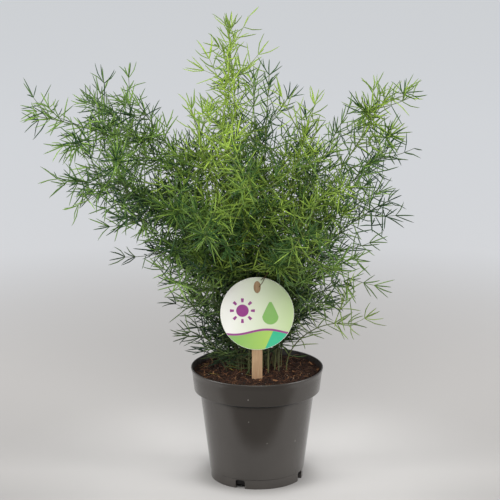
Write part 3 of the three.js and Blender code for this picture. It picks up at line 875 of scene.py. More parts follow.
def discMaterial():
    # a plain care card: a green hill under a purple line, a sun and a water drop
    material, tree, shader = newMaterial("labelCard", specular=0.45)
    face = axesOf(tree, put(tree, "ShaderNodeUVMap", uv_map="face").outputs[0])
    x, y = (maths(tree, "SUBTRACT", face[axis], 0.5) for axis in ("X", "Y"))

    def offsetFrom(centre):
        return maths(tree, "SUBTRACT", x, centre[0]), maths(tree, "SUBTRACT", y, centre[1])

    def radiusOf(dx, dy):
        squares = maths(tree, "ADD", times(tree, dx, dx), times(tree, dy, dy))
        return maths(tree, "SQRT", squares)

    def inside(value, limit):
        # 1 where value is under limit, with a soft edge
        soft = art["softness"]
        return levels(tree, maths(tree, "SUBTRACT", limit, value), -soft, soft)

    def along(pair):
        return maths(tree, "MULTIPLY_ADD", x, *pair)

    # hill, its teal end and the line above it
    wave = maths(tree, "SINE", along(art["waves"]))
    crest = maths(tree, "MULTIPLY_ADD", wave, art["hillWave"], art["hillLevel"])
    hill = mixed(tree, along(art["hillTones"]), art["leafGreen"], art["hillGreen"])
    hill = mixed(tree, inside(times(tree, y, 0.5), along(art["tealSide"])), hill, art["teal"])
    ground = mixed(tree, along(art["groundTones"]), art["cream"], art["paleGreen"])
    underCrest = inside(y, crest)
    printed = mixed(tree, underCrest, ground, hill)
    underStripe = inside(y, maths(tree, "ADD", crest, art["stripe"]))
    stripe = maths(tree, "SUBTRACT", underStripe, underCrest)
    printed = mixed(tree, stripe, printed, art["purple"])
    # sun: a disc and its rays
    dx, dy = offsetFrom(art["sunPlace"])
    radius = radiusOf(dx, dy)
    first, last = (art["sunRadius"] * reach for reach in art["rayReach"])
    ray = maths(tree, "COSINE", times(tree, maths(tree, "ARCTAN2", dy, dx), art["rays"]))
    rays = times(tree, inside(radius, last), inside(first, radius))
    rays = times(tree, rays, inside(art["rayGap"], ray))
    sun = maths(tree, "MAXIMUM", inside(radius, art["sunRadius"]), rays)
    printed = mixed(tree, sun, printed, art["purple"])
    # drop: a round belly that narrows to a point above
    dx, dy = offsetFrom(art["dropPlace"])
    left = levels(tree, dy, 0.0, art["dropTip"], 1.0, 0.0)
    wide = times(tree, maths(tree, "POWER", left, art["dropTaper"]), art["dropRadius"])
    upper = times(tree, inside(maths(tree, "ABSOLUTE", dx), wide), inside(-art["overlap"], dy))
    upper = times(tree, upper, inside(dy, art["dropTop"]))
    belly = times(tree, inside(radiusOf(dx, dy), art["dropRadius"]), inside(dy, art["overlap"]))
    printed = mixed(tree, maths(tree, "MAXIMUM", upper, belly), printed, art["leafGreen"])
    # the cut edge shows as a fine pale line
    printed = mixed(tree, inside(art["edgeRadius"], radiusOf(x, y)), printed, art["edgeColor"])
    place = objectPlace(tree)
    faded = mixed(tree, mottled(tree, place, 90.0, high=0.07), printed, art["fadeColor"])
    rough = mottled(tree, place, 500.0, low=0.34, high=0.46)
    surface(tree, shader, faded, rough, (rough, 0.05, 0.0002))
    return material


stickPiece = makeStick()
stickPiece.data.materials.append(stickMaterial())
dress(stickPiece, "stick", "label_stick")
discPiece = makeDisc()
discPiece.data.materials.append(discMaterial())
dress(discPiece, "label", "label_disc")
print("label made")


# foliage: the frame's stems and side branches again, in millimetres

# a pair for a length, a place or a lean is the least value and what a draw adds to it at most
foliage = {
    "bareLength": 15,
    "knotSpacing": 38,
    "crowding": 1.35,
    "branchRadius": 0.7,
    "stemRootRadius": 1.5,
    "lift": 0.3,
    "rootDepth": 14,
    "sprout": 3,
    "crownX": 2,
    "crownY": 7,
    "innerRadius": 5,
    "spread": 24,
    "stemTurn": 60,
    "leave": (62, -20, 12),  # degrees by the stem's foot, more by its tip, and the swing
    "fullness": (0.27, 0.7),  # the part of half a wave that the branches' lengths follow
    "lengths": (0.85, 0.3),
    "turns": (0, 45, -45, 90, -90, 140),  # degrees, tried in turn until a branch is clear
    "ownGap": 0.2,
    "otherGap": 0.5,
    "branchParts": 6,
    "lookSteps": 8,  # along a part, to see whether it is in open air
}
# name, tip, droop, longest branch, rise, hook, youth (new growth is a brighter green)
stems = [
    ("left_arch", (-204, -14, 340), 80, 60, 0.6, 0.44, 0.26),
    ("left_upper", (-154, 38, 350), 52, 62, 0.5, 0.4, 0.22),
    ("left_crest", (-110, -26, 360), 34, 60, 0.5, 0.4, 0.34),
    ("left_front", (-168, -50, 290), 80, 56, 0.55, 0.42, 0.24),
    ("left_back", (-148, 74, 270), 72, 58, 0.5, 0.4, 0.08),
    ("left_middle", (-130, 26, 240), 70, 54, 0.5, 0.4, 0.1),
    ("left_low", (-104, -66, 220), 70, 48, 0.5, 0.38, 0.2),
    ("left_lowest", (-78, 34, 150), 98, 40, 0.6, 0.38, 0.12),
    ("centre_left", (-62, -46, 376), 12, 60, 0.5, 0.4, 0.6),
    ("centre_top", (-26, 4, 423), 4, 60, 0.5, 0.4, 0.6),
    ("centre_right", (12, -10, 396), 8, 60, 0.5, 0.4, 0.14),
    ("centre_back", (-4, 54, 366), 14, 58, 0.5, 0.4, 0.2),
    ("right_inner", (48, -28, 346), 18, 58, 0.5, 0.4, 0.46),
    ("right_middle", (86, 20, 344), 30, 58, 0.5, 0.4, 0.32),
    ("right_upper", (120, -34, 374), 28, 48, 0.45, 0.4, 0.36),
    ("right_back", (126, 56, 302), 52, 56, 0.5, 0.4, 0.14),
    ("right_side", (128, 6, 262), 64, 54, 0.5, 0.4, 0.24),
    ("right_low", (92, -52, 222), 64, 48, 0.5, 0.4, 0.2),
    ("right_lowest", (92, -30, 150), 104, 44, 0.6, 0.4, 0.34),
    ("front_left", (-58, -102, 268), 62, 54, 0.95, 0.58, 0.1),
    ("front_centre", (-8, -92, 314), 42, 54, 0.7, 0.5, 0.22),
    ("front_right", (50, -100, 256), 66, 52, 0.85, 0.6, 0.05),
    ("back_left", (-56, 110, 296), 56, 56, 0.5, 0.4, 0.1),
    ("back_right", (52, 108, 286), 56, 56, 0.5, 0.4, 0.1),
]
youngStems = (
    "centre_left", "centre_top", "centre_right", "right_inner", "right_upper",
    "right_lowest", "front_left", "front_centre", "front_right",
)
upWay = np.array([0.0, 0.0, 1.0])


def unit(v):
    return v / np.linalg.norm(v)


def draws(seed):
    # repeatable draws between 0 and 1, the same as the frame's
    modulus = 2147483647
    state = (seed * 48271 + 12345) % modulus

    def draw():
        nonlocal state
        state = (state * 16807) % modulus
        return state / modulus
    draw()
    draw()
    return draw


def drawn(draw, pair):
    return pair[0] + pair[1] * draw()


def swung(draw, width):
    return width * (draw() - 0.5)


class Arc:
    # a Bezier curve of any degree, read by its share of the length
    def __init__(self, *corners):
        self.corners = [np.array(c, float) for c in corners]
        self.steps = np.linspace(0, 1, 201)
        line = np.array([self.at(t) for t in self.steps])
        self.lengths = np.concatenate([[0], np.cumsum(np.linalg.norm(np.diff(line, axis=0), axis=1))])
        self.length = self.lengths[-1]

    def at(self, t):
        points = self.corners
        while len(points) > 1:
            points = [a + (b - a) * t for a, b in zip(points, points[1:])]
        return points[0]

    def step(self, share):
        return float(np.interp(share * self.length, self.lengths, self.steps))

    def point(self, share):
        return self.at(self.step(share))

    def way(self, share):
        t = self.step(share)
        return unit(self.at(min(1, t + 1e-4)) - self.at(max(0, t - 1e-4)))


def stemArc(tip, droop, rise, hook):
    end = np.array(tip, float)
    crown = np.array([foliage["crownX"], foliage["crownY"], soil["level"] + foliage["sprout"]])
    out = (end - crown) * (1, 1, 0)
    lean = math.atan2(np.linalg.norm(out), end[2] - crown[2])
    out = unit(out)
    foot = crown + out * (foliage["innerRadius"] + foliage["spread"] * math.sin(lean))
    reach = np.linalg.norm(end - foot)
    shoulder = foot + upWay * rise * (end[2] - crown[2])
    tipWay = upWay * math.cos(math.radians(droop)) + out * math.sin(math.radians(droop))
    return Arc(foot, shoulder, end - tipWay * hook * reach, end), np.cross(upWay, out)


def knotShares(arc):
    leafy = arc.length - foliage["bareLength"] - foliage["knotSpacing"] / 4
    count = math.floor(leafy / foliage["knotSpacing"] + 0.5)
    reaches = [leafy * (1 - (1 - i / (count + 0.5)) ** foliage["crowding"]) for i in range(count + 1)]
    return [(foliage["bareLength"] + reach) / arc.length for reach in reaches]


def branchArc(arc, across, spread, number, knots, j, extra):
    draw = draws(number * 1000 + j)
    start = (arc.point(knots[j]) + arc.point(knots[j + 1])) / 2
    way = arc.way((knots[j] + knots[j + 1]) / 2)
    turn = math.radians(j * goldenAngle + number * foliage["stemTurn"] + extra)
    return branchFrom(start, way, across, turn, j / len(knots), spread, draw)


def branchFrom(start, way, across, turn, share, spread, draw):
    # a side branch: it leaves at a slant and lifts a little towards its end
    outward = across * math.cos(turn) + unit(np.cross(way, across)) * math.sin(turn)
    slant, more, swing = foliage["leave"]
    leave = math.radians(slant + more * share + swung(draw, swing))
    leaving = way * math.cos(leave) + outward * math.sin(leave)
    first, gain = foliage["fullness"]
    length = spread * math.sin(math.pi * (first + gain * share)) * drawn(draw, foliage["lengths"])
    return liftedArc(start, leaving, length)


def liftedArc(start, leaving, length):
    # its second half turns a little upwards
    middle = start + leaving * length / 2
    return Arc(start, middle, middle + unit(leaving + upWay * foliage["lift"]) * length / 2)


def rootOf(arc):
    return arc.point(0) * (1, 1, 0) + upWay * (soil["level"] - foliage["rootDepth"])


def segmentDistances(a, b, c, d):
    # shortest distances between the segment a-b and the many segments c-d
    ab, cd, ca = b - a, d - c, a - c
    e = ab @ ab
    f = (cd * cd).sum(1)
    g = cd @ ab
    h = ca @ ab
    k = (cd * ca).sum(1)
    bottom = e * f - g * g
    s = np.where(bottom > 1e-9, np.clip((g * k - h * f) / np.where(bottom > 1e-9, bottom, 1), 0, 1), 0)
    t = np.clip((g * s + k) / f, 0, 1)
    s = np.clip((g * t - h) / e, 0, 1)
    return np.linalg.norm((a + ab * s[:, None]) - (c + cd * t[:, None]), axis=1)


labelTurn = np.array(labelPlane.inverted())
keepOff = 2.5


def onLabel(point):
    # a point as the label's plane has it, and how far it is from the disc's middle
    local = labelTurn[:3, :3] @ point + labelTurn[:3, 3] / mm
    return local, math.hypot(local[0], local[2] - label["discHeight"])


def isOpenAir(point, clearance=keepOff):
    # off the pot, the soil and the label
    radius = math.hypot(point[0], point[1])
    top = pot["height"] + clearance
    if 0 < point[2] < top and radius < pot["rimRadius"] + clearance:
        return point[2] > top - 1 and radius < pot["rimRadius"]
    local, fromDisc = onLabel(point)
    if abs(local[1] + label["stickThickness"] / 2) > clearance:
        return point[2] > clearance
    besideStick = abs(local[0]) > label["stickWidth"] / 2 + clearance or local[2] > label["stickTop"]
    return fromDisc > label["discRadius"] + clearance and besideStick


def isOpenWay(a, b):
    steps = foliage["lookSteps"]
    return all(isOpenAir(a + (b - a) * i / steps) for i in range(steps + 1))


def frameBranches():
    # the branches that the frame has, by the frame's own rule
    starts, ends, radii, owners, branches = [], [], [], [], []

    def grow(points, radius, stem, branch):
        for a, b in zip(points, points[1:]):
            starts.append(a)
            ends.append(b)
            radii.append(radius)
            owners.append((stem, branch))

    def isFree(points, number, j):
        # off all that has grown, apart from its own stem and its own parts
        c, d = np.array(starts), np.array(ends)
        stemOf, branchOf = np.array(owners).T
        own = stemOf == number
        gap = np.where(own, foliage["ownGap"], foliage["otherGap"])
        room = foliage["branchRadius"] + np.array(radii) + gap
        others = ~(own & ((branchOf == 0) | (branchOf == j + 1)))
        return all(
            isOpenWay(a, b) and not ((segmentDistances(a, b, c, d) < room) & others).any()
            for a, b in zip(points, points[1:])
        )

    arcs = [stemArc(tip, droop, rise, hook) for _, tip, droop, _, rise, hook, _ in stems]
    for number, (arc, _) in enumerate(arcs, 1):
        middle = [arc.point(share) for share in knotShares(arc)]
        points = [rootOf(arc), arc.point(0), *middle, arc.point(1)]
        grow(points, foliage["stemRootRadius"], number, 0)
    parts = foliage["branchParts"]
    for number, ((arc, across), row) in enumerate(zip(arcs, stems), 1):
        knots = knotShares(arc)
        kept = []
        for j in range(len(knots) - 1):
            for extra in foliage["turns"]:
                branch = branchArc(arc, across, row[3], number, knots, j, extra)
                points = [branch.point(i / parts) for i in range(parts + 1)]
                if isFree(points, number, j):
                    grow(points, foliage["branchRadius"], number, j + 1)
                    kept.append((j, branch))
                    break
        branches.append(kept)
    return arcs, branches


# what the looks add to the frame's stems: more branches, twigs and needles
finer = {
    "seed": 900,
    "branchesBetween": (2, 1),  # in the lower part of a stem and above it
    "upperFrom": 0.55,
    "fullStems": ("left_arch", "left_front", "left_upper"),  # as leafy above as below
    "sparseStems": ("right_inner", "right_middle"),
    # one more branch at each knot for each time a stem is named
    "leafierStems": ("left_front", "right_upper", "right_upper", "centre_left"),
    "sparseness": 1.5,
    "branchReach": 0.8,
    "branchLengths": (0.7, 0.5),
    "branchJitter": 0.6,
    "branchTurns": (120, 70),  # degrees from one to the next, and the swing
    "branchBare": 0.15,
    "tipBack": 12,  # the needles at a stem's tip reach this far past it
    "moreBack": {
        "left_low": 16,
        "left_lowest": 56,
        "centre_left": 14,
        "centre_right": 10,
        "centre_top": -3,
        "right_inner": 14,
        "right_upper": 8,
    },
    "topTwigs": 0.35,  # twigs by a stem's tip, as a share of those by its foot
    "stemTwigSpacing": 19,
    "stemTwigLength": 34,
    "twigSpacing": 18.5,
    "twigWidening": 0.3,
    "twigLength": 31,
    "twigLengths": (0.5, 0.8),
    "twigTaper": 0.65,
    "twigEnd": 0.98,
    "twigJitter": 0.7,
    "twigTurnSwing": 40,
    "twigLeave": 56,
    "twigLeaveSwing": 26,
    "youthSwing": 0.8,
    "youthRise": 0.2,
    "youthLevel": 0.6,
    "frontBefore": -80,  # stems whose tip is before this y get fewer branches
    # shoot tips that point out of the front of the clump
    "bursts": {
        "left_arch": 3,
        "left_front": 4,
        "left_upper": 2,
        "left_crest": 1,
        "front_left": 2,
        "front_right": 1,
        "right_side": 1,
        "right_upper": 2,
    },
    "burstPlaces": (0.5, 0.4),
    "burstShoots": 4,
    "burstSide": 0.5,
    "burstRise": (0.1, 0.5),
    "burstSpread": 0.4,
    "burstLength": 17,
    "burstLengths": (0.7, 0.5),
    "crownShoots": (6, 22),  # how many and their bare foot, at most stems
    "leftShoots": (5, 3),  # at the stems that lean to the left
    "leftBefore": -60,
    "shootSpread": 15,
    "shootAim": 0.4,  # they lean the way that the stem has gone by this part of it
    "shootLean": (6, 64),
    "shootAside": 0.8,
    "shootLength": 56,
    "shootLengths": (0.45, 0.9),
    "shootsBehind": -14,  # none grow nearer than this, so the soil shows before them
    "pathStep": 6,
    "stemGirth": (0.62, 0.4),
    "branchGirth": (0.42, 0.24),
    "twigGirth": (0.28, 0.18),
    "shootGirth": (0.36, 0.2),
    "labelMargin": 5,
    "overSoil": 50,
    "boxMargin": 1,
    "needleMargin": 0.4,
}
# where the background shows through the clump, as seen from the front: x, z, half width, half
# height and the share of the branches and twigs left out there
seenFrom = np.array((-6.4, -2300.0, 815.0))
openings = np.array((
    (-86, 357, 20, 26, 0.7),
    (-64, 340, 10, 32, 0.75),
    (-106, 344, 18, 22, 0.4),
    (-188, 368, 28, 15, 0.9),
    (-200, 318, 14, 14, 0.9),
    (-166, 338, 12, 14, 0.6),
    (62, 338, 26, 34, 0.45),
    (66, 374, 26, 20, 0.95),
    (84, 318, 12, 30, 0.75),
    (94, 373, 14, 16, 0.9),
    (17, 420, 23, 25, 1.0),
    (18, 380, 15, 28, 1.0),
    (10, 352, 8, 16, 0.8),
    (-50, 413, 16, 29, 1.0),
    (50, 127, 24, 23, 1.0),
    (-104, 182, 26, 20, 0.95),
    (-96, 141, 25, 28, 1.0),
    (-84, 116, 24, 18, 1.0),
    (118, 240, 18, 26, 0.5),
    (96, 206, 13, 18, 0.4),
    (98, 110, 20, 14, 1.0),
    (-20, 140, 24, 24, 0.5),
))
needles = {
    "Node spacing": 10.1 * mm,
    "Fewest needles": 1.5,
    "Most needles": 3.5,
    "Tip tuft": 2.5,
    "Needle length": 23.5 * mm,
    "Needle width": 1.27 * mm,
    "Needle thickness": 0.75,
    "Needle bend": 0.07,
    "Needle tilt": math.radians(68),
    "Tip tilt": math.radians(34),
    "Tilt swing": math.radians(22),
    "Clearance": 0.6 * mm,
}


def isBeforeLabel(point):
    # in front of the disc, where nothing hangs over its face
    local, fromDisc = onLabel(point)
    return local[1] < 0 and fromDisc < label["discRadius"] + finer["labelMargin"]


def isInBox(point):
    low, high = (np.array(corner) / mm for corner in cadBox)
    margin = finer["boxMargin"]
    return bool(((point > low + margin) & (point < high - margin)).all())


def isInOpening(points, pick):
    # the points are moved along their line of sight to the plane through the pot's axis
    seen = np.array([seenFrom + (p - seenFrom) * seenFrom[1] / (seenFrom[1] - p[1]) for p in points])
    across = (seen[:, :1] - openings[:, 0]) / openings[:, 2]
    up = (seen[:, 2:] - openings[:, 1]) / openings[:, 3]
    return bool(((across ** 2 + up ** 2 < 1) & (pick < openings[:, 4])).any())


def isClear(point):
    # open air, which over the middle of the soil goes on down to it
    raised = point
    if math.hypot(point[0], point[1]) < finer["overSoil"] and point[2] > soil["level"]:
        raised = point * (1, 1, 0) + upWay * max(point[2], pot["height"] + keepOff)
    return isOpenAir(raised) and not isBeforeLabel(point)


def addPath(paths, arc, girth, youth, draw, root=None, bare=0.0, until=1.0, isStem=False):
    # a line of points along an arc, with how thick, how leafy and how young it is at each
    count = max(2, math.ceil(arc.length / finer["pathStep"]))
    shares = [until * i / count for i in range(count + 1)]
    points = [arc.point(s) for s in shares]
    if not all(isClear(p) and isInBox(p) for p in points[1:]):
        return False
    if not isStem and isInOpening(points, draw()):
        return False
    if root is not None:
        points.insert(0, root)
        shares.insert(0, 0)
    swing = swung(draw, finer["youthSwing"])
    paths.append({
        "points": points,
        "girth": [girth[0] + (girth[1] - girth[0]) * s for s in shares],
        "leafy": [1.0 if s * arc.length >= bare else 0.0 for s in shares],
        "youth": [youth(p) + swing for p in points],
    })
    return True


def addTwigs(paths, parent, youth, draw, spacing, longest, first):
    # short side shoots all round a branch or stem, smaller towards its end
    count = int(parent.length * (1 - first) / spacing)
    turn = 2 * math.pi * draw()
    for i in range(count):
        along = first + (finer["twigEnd"] - first) * drawn(draw, (i, finer["twigJitter"])) / count
        way = parent.way(along)
        level = unit(np.cross(way, upWay) + 1e-6)
        turn += math.radians(goldenAngle + swung(draw, finer["twigTurnSwing"]))
        side = level * math.cos(turn) + np.cross(way, level) * math.sin(turn)
        leave = math.radians(finer["twigLeave"] + swung(draw, finer["twigLeaveSwing"]))
        leaving = way * math.cos(leave) + side * math.sin(leave)
        length = longest * drawn(draw, finer["twigLengths"]) * (1 - finer["twigTaper"] * along)
        twig = liftedArc(parent.point(along), leaving, length)
        addPath(paths, twig, finer["twigGirth"], youth, draw)


def addBurst(paths, start, youth, draw):
    # short shoots close together, which look like a star from the front
    aim = unit(np.array((swung(draw, finer["burstSide"]), -1.0, drawn(draw, finer["burstRise"]))))
    for _ in range(finer["burstShoots"]):
        way = unit(aim + np.array([swung(draw, finer["burstSpread"]) for _ in range(3)]))
        reach = finer["burstLength"] * drawn(draw, finer["burstLengths"])
        arc = Arc(start, start + way * reach / 2, start + way * reach)
        addPath(paths, arc, finer["twigGirth"], youth, draw)


def addCrownShoots(paths, arc, youth, draw, count, bare):
    # short thin shoots that leave the soil at a slant round the foot of a stem
    foot = arc.point(0) * (1, 1, 0) + upWay * soil["level"]
    out = unit((arc.point(finer["shootAim"]) - arc.point(0)) * (1, 1, 0) + 1e-6)
    for _ in range(count):
        angle = 2 * math.pi * draw()
        aside = np.array([math.cos(angle), math.sin(angle), 0.0])
        start = foot + aside * finer["shootSpread"] * math.sqrt(draw())
        lean = math.radians(drawn(draw, finer["shootLean"]))
        sideways = unit(out + finer["shootAside"] * aside)
        leaning = upWay * math.cos(lean) + sideways * math.sin(lean)
        length = finer["shootLength"] * drawn(draw, finer["shootLengths"])
        middle = start + unit(upWay + 0.5 * leaning) * length / 2
        end = start + leaning * length
        root = start - upWay * foliage["rootDepth"]
        if min(start[1], end[1]) > finer["shootsBehind"]:
            shoot = Arc(start, middle, end)
            addPath(paths, shoot, finer["shootGirth"], youth, draw, root, bare)


def moreBranches(number, row, arc, across, draw):
    # the looks' own branches between the frame's, each with the place where it leaves the stem
    name, tip, _, spread, _, _, _ = row
    knots = knotShares(arc)
    step, swing = finer["branchTurns"]
    branches = []
    for j in range(len(knots) - 1):
        isUpper = j / len(knots) > finer["upperFrom"] and name not in finer["fullStems"]
        between = finer["branchesBetween"][isUpper or tip[1] < finer["frontBefore"]]
        between += finer["leafierStems"].count(name)
        for extra in range(between):
            place = drawn(draw, (extra, finer["branchJitter"]))
            along = knots[j] + (knots[j + 1] - knots[j]) * place / between
            turn = j * goldenAngle + number * foliage["stemTurn"] + step * (extra + 1)
            turn = math.radians(turn + swung(draw, swing))
            share = (j - 0.5 + extra / between) / len(knots)
            reach = spread * finer["branchReach"] * drawn(draw, finer["branchLengths"])
            start, way = arc.point(along), arc.way(along)
            branches.append((branchFrom(start, way, across, turn, share, reach, draw), along))
    return branches


def makePaths(number, row, arc, across, kept):
    name, tip, ownYouth = row[0], row[1], row[6]
    draw = draws(number + finer["seed"])

    def youth(point):
        # a little more new growth high in the clump
        height = (point[2] - soil["level"]) / (tip[2] - soil["level"])
        return ownYouth + finer["youthRise"] * (height - finer["youthLevel"])

    paths = []
    girth, bare = finer["stemGirth"], foliage["bareLength"]
    until = 1 - (finer["tipBack"] + finer["moreBack"].get(name, 0)) / arc.length
    addPath(paths, arc, girth, youth, draw, rootOf(arc), bare, until, isStem=True)
    knots = knotShares(arc)
    thin = finer["sparseness"] if name in finer["sparseStems"] else 1
    spacing = thin * finer["stemTwigSpacing"]
    addTwigs(paths, arc, youth, draw, spacing, finer["stemTwigLength"], knots[0])
    branches = [(branch, knots[j]) for j, branch in kept]
    branches += moreBranches(number, row, arc, across, draw)
    for branch, along in branches:
        if addPath(paths, branch, finer["branchGirth"], youth, draw):
            spacing = thin * finer["twigSpacing"] * (1 + finer["twigWidening"] * along)
            longest = finer["twigLength"] * (1 - (1 - finer["topTwigs"]) * along)
            addTwigs(paths, branch, youth, draw, spacing, longest, finer["branchBare"])
    for _ in range(finer["bursts"].get(name, 0)):
        branch = branches[int(draw() * len(branches))][0]
        addBurst(paths, branch.point(drawn(draw, finer["burstPlaces"])), youth, draw)
    shoots = finer["leftShoots" if tip[0] < finer["leftBefore"] else "crownShoots"]
    addCrownShoots(paths, arc, youth, draw, *shoots)
    return paths


def pathMesh(name, paths):
    points, edges = [], []
    values = {"girth": [], "leafy": [], "youth": []}
    for path in paths:
        first = len(points)
        points += [tuple(p * mm) for p in path["points"]]
        edges += [(i, i + 1) for i in range(first, len(points) - 1)]
        for key in values:
            values[key] += path[key]
    mesh = bpy.data.meshes.new(name)
    mesh.from_pydata(points, edges, [])
    values["girth"] = [g * mm for g in values["girth"]]
    for key, numbers in values.items():
        mesh.attributes.new(key, "FLOAT", "POINT").data.foreach_set("value", numbers)
    return mesh


# how needles sit on a twig
spray = {
    "tubeSides": 5,
    "tipSharpness": 5.0,
    "turnSwing": 0.45,
    "tipShortening": 0.15,
    "lengths": (0.7, 1.06),
}
# three needles, nearly straight, bent out and bent in
blade = {
    "bends": (0.1, 1.0, -0.7),
    "points": 5,
    "crowding": 0.13,
    "sides": 3,
    "radius": 0.55,
    "foot": (0.55, 1.8),  # width at the foot and how fast it widens
    "pointSharpness": 8.0,
    "thinnest": 0.1,
}


def ownDraw(tree, given, low, high, extra):
    # draws of different extra numbers don't depend on each other
    return randomBetween(tree, low, high, maths(tree, "ADD", given["Seed"], float(extra)))


def turnedBy(tree, first, second):
    return made(tree, "FunctionNodeRotateRotation", {0: first, 1: second}, rotation_space="LOCAL")


def turnAbout(tree, axis, angle):
    return made(tree, "FunctionNodeAxisAngleToRotation", {"Axis": axis, "Angle": angle})


def compared(tree, first, operation, second):
    return made(tree, "FunctionNodeCompare", {0: first, 1: second}, operation=operation)


def twigTubes(tree, curves):
    # stems, branches and twigs as tapered tubes
    values = {"Resolution": spray["tubeSides"], "Radius": 1.0}
    ring = made(tree, "GeometryNodeCurvePrimitiveCircle", values)
    tubes = stored(tree, swept(tree, curves, ring, attribute(tree, "girth")), "stemness", 1.0)
    return made(tree, "GeometryNodeSetShadeSmooth", {"Geometry": tubes})


def twigNodes(tree, given, curves):
    # the leafy places along each path, and the way of the path there
    length = made(tree, "GeometryNodeSplineLength")
    count = maths(tree, "ROUND", maths(tree, "DIVIDE", length, given["Node spacing"]))
    count = maths(tree, "MAXIMUM", maths(tree, "ADD", count, 1.0), 2.0)
    values = {"Curve": curves, "Count": made(tree, "FunctionNodeFloatToInt", {0: count})}
    lines = made(tree, "GeometryNodeResampleCurve", values)
    lines = stored(tree, lines, "share", made(tree, "GeometryNodeSplineParameter"))
    nodes = put(tree, "GeometryNodeCurveToPoints", {"Curve": lines}, mode="EVALUATED")
    bare = compared(tree, attribute(tree, "leafy"), "LESS_THAN", 0.5)
    values = {"Geometry": nodes.outputs["Points"], "Selection": bare}
    leafy = made(tree, "GeometryNodeDeleteGeometry", values, domain="POINT")
    return leafy, nodes.outputs["Tangent"]


def needlePlaces(tree, given, leafy, tangent):
    # several needles at each node, turned evenly about the twig
    nearTip = maths(tree, "POWER", attribute(tree, "share"), spray["tipSharpness"])
    some = ownDraw(tree, given, given["Fewest needles"], given["Most needles"], 1)
    amount = maths(tree, "ROUND", maths(tree, "MULTIPLY_ADD", nearTip, given["Tip tuft"], some))
    leafy = stored(tree, leafy, "amount", amount)
    index = made(tree, "GeometryNodeInputIndex")
    leafy = stored(tree, leafy, "nodeTurn", times(tree, index, math.radians(goldenAngle)))
    whole = made(tree, "FunctionNodeFloatToInt", {0: attribute(tree, "amount")})
    values = {"Geometry": leafy, "Amount": whole}
    many = put(tree, "GeometryNodeDuplicateElements", values, domain="POINT")
    step = maths(tree, "DIVIDE", 2 * math.pi, attribute(tree, "amount"))
    which = many.outputs["Duplicate Index"]
    turn = maths(tree, "MULTIPLY_ADD", which, step, attribute(tree, "nodeTurn"))
    swing = spray["turnSwing"]
    turn = maths(tree, "ADD", turn, ownDraw(tree, given, -swing, swing, 2))
    # those at the tip of a twig stand up and are a little shorter
    flatter = maths(tree, "SUBTRACT", given["Tip tilt"], given["Needle tilt"])
    lean = maths(tree, "MULTIPLY_ADD", flatter, nearTip, given["Needle tilt"])
    swing = given["Tilt swing"]
    tilt = maths(tree, "ADD", lean, ownDraw(tree, given, times(tree, swing, -1.0), swing, 3))
    aimed = made(tree, "FunctionNodeAlignRotationToVector", {"Vector": tangent}, axis="Z")
    spun = turnedBy(tree, aimed, turnAbout(tree, (0.0, 0.0, 1.0), turn))
    rotation = turnedBy(tree, spun, turnAbout(tree, (0.0, 1.0, 0.0), tilt))
    short = maths(tree, "MULTIPLY_ADD", attribute(tree, "share"), -spray["tipShortening"], 1.0)
    long = times(tree, short, ownDraw(tree, given, *spray["lengths"], 4))
    placed = stored(tree, many.outputs["Geometry"], "long", long)
    return stored(tree, placed, "turned", rotation, kind="QUATERNION")


def roomForNeedles(tree, given, many):
    # needles that would run into what the frame keeps clear, or out of its box, are left out
    solids = put(tree, "GeometryNodeObjectInfo", {"Object": given["Keep clear"]}).outputs["Geometry"]
    here = made(tree, "GeometryNodeInputPosition")
    values = {"Vector": (0.0, 0.0, 1.0), "Rotation": attribute(tree, "turned", "QUATERNION")}
    pointing = made(tree, "FunctionNodeRotateVector", values)
    reach = times(tree, attribute(tree, "long"), given["Needle length"])
    values = {
        "Target Geometry": solids,
        "Source Position": here,
        "Ray Direction": pointing,
        "Ray Length": maths(tree, "ADD", reach, given["Clearance"]),
    }
    blocked = put(tree, "GeometryNodeRaycast", values).outputs["Is Hit"]

    def vectors(operation, first, second):
        return put(tree, "ShaderNodeVectorMath", {0: first, 1: second}, operation=operation).outputs

    end = vectors("ADD", here, scaled(tree, pointing, reach))[0]
    values = {"Geometry": solids, "Sample Position": end}
    near = put(tree, "GeometryNodeProximity", values).outputs["Distance"]
    touching = compared(tree, near, "LESS_THAN", given["Clearance"])
    held = vectors("MAXIMUM", end, given["Lowest corner"])[0]
    held = vectors("MINIMUM", held, given["Highest corner"])[0]
    outside = compared(tree, vectors("DISTANCE", held, end)["Value"], "GREATER_THAN", 1e-6)
    wrong = made(tree, "FunctionNodeBooleanMath", {0: blocked, 1: touching}, operation="OR")
    wrong = made(tree, "FunctionNodeBooleanMath", {0: wrong, 1: outside}, operation="OR")
    values = {"Geometry": many, "Selection": wrong}
    return made(tree, "GeometryNodeDeleteGeometry", values, domain="POINT")


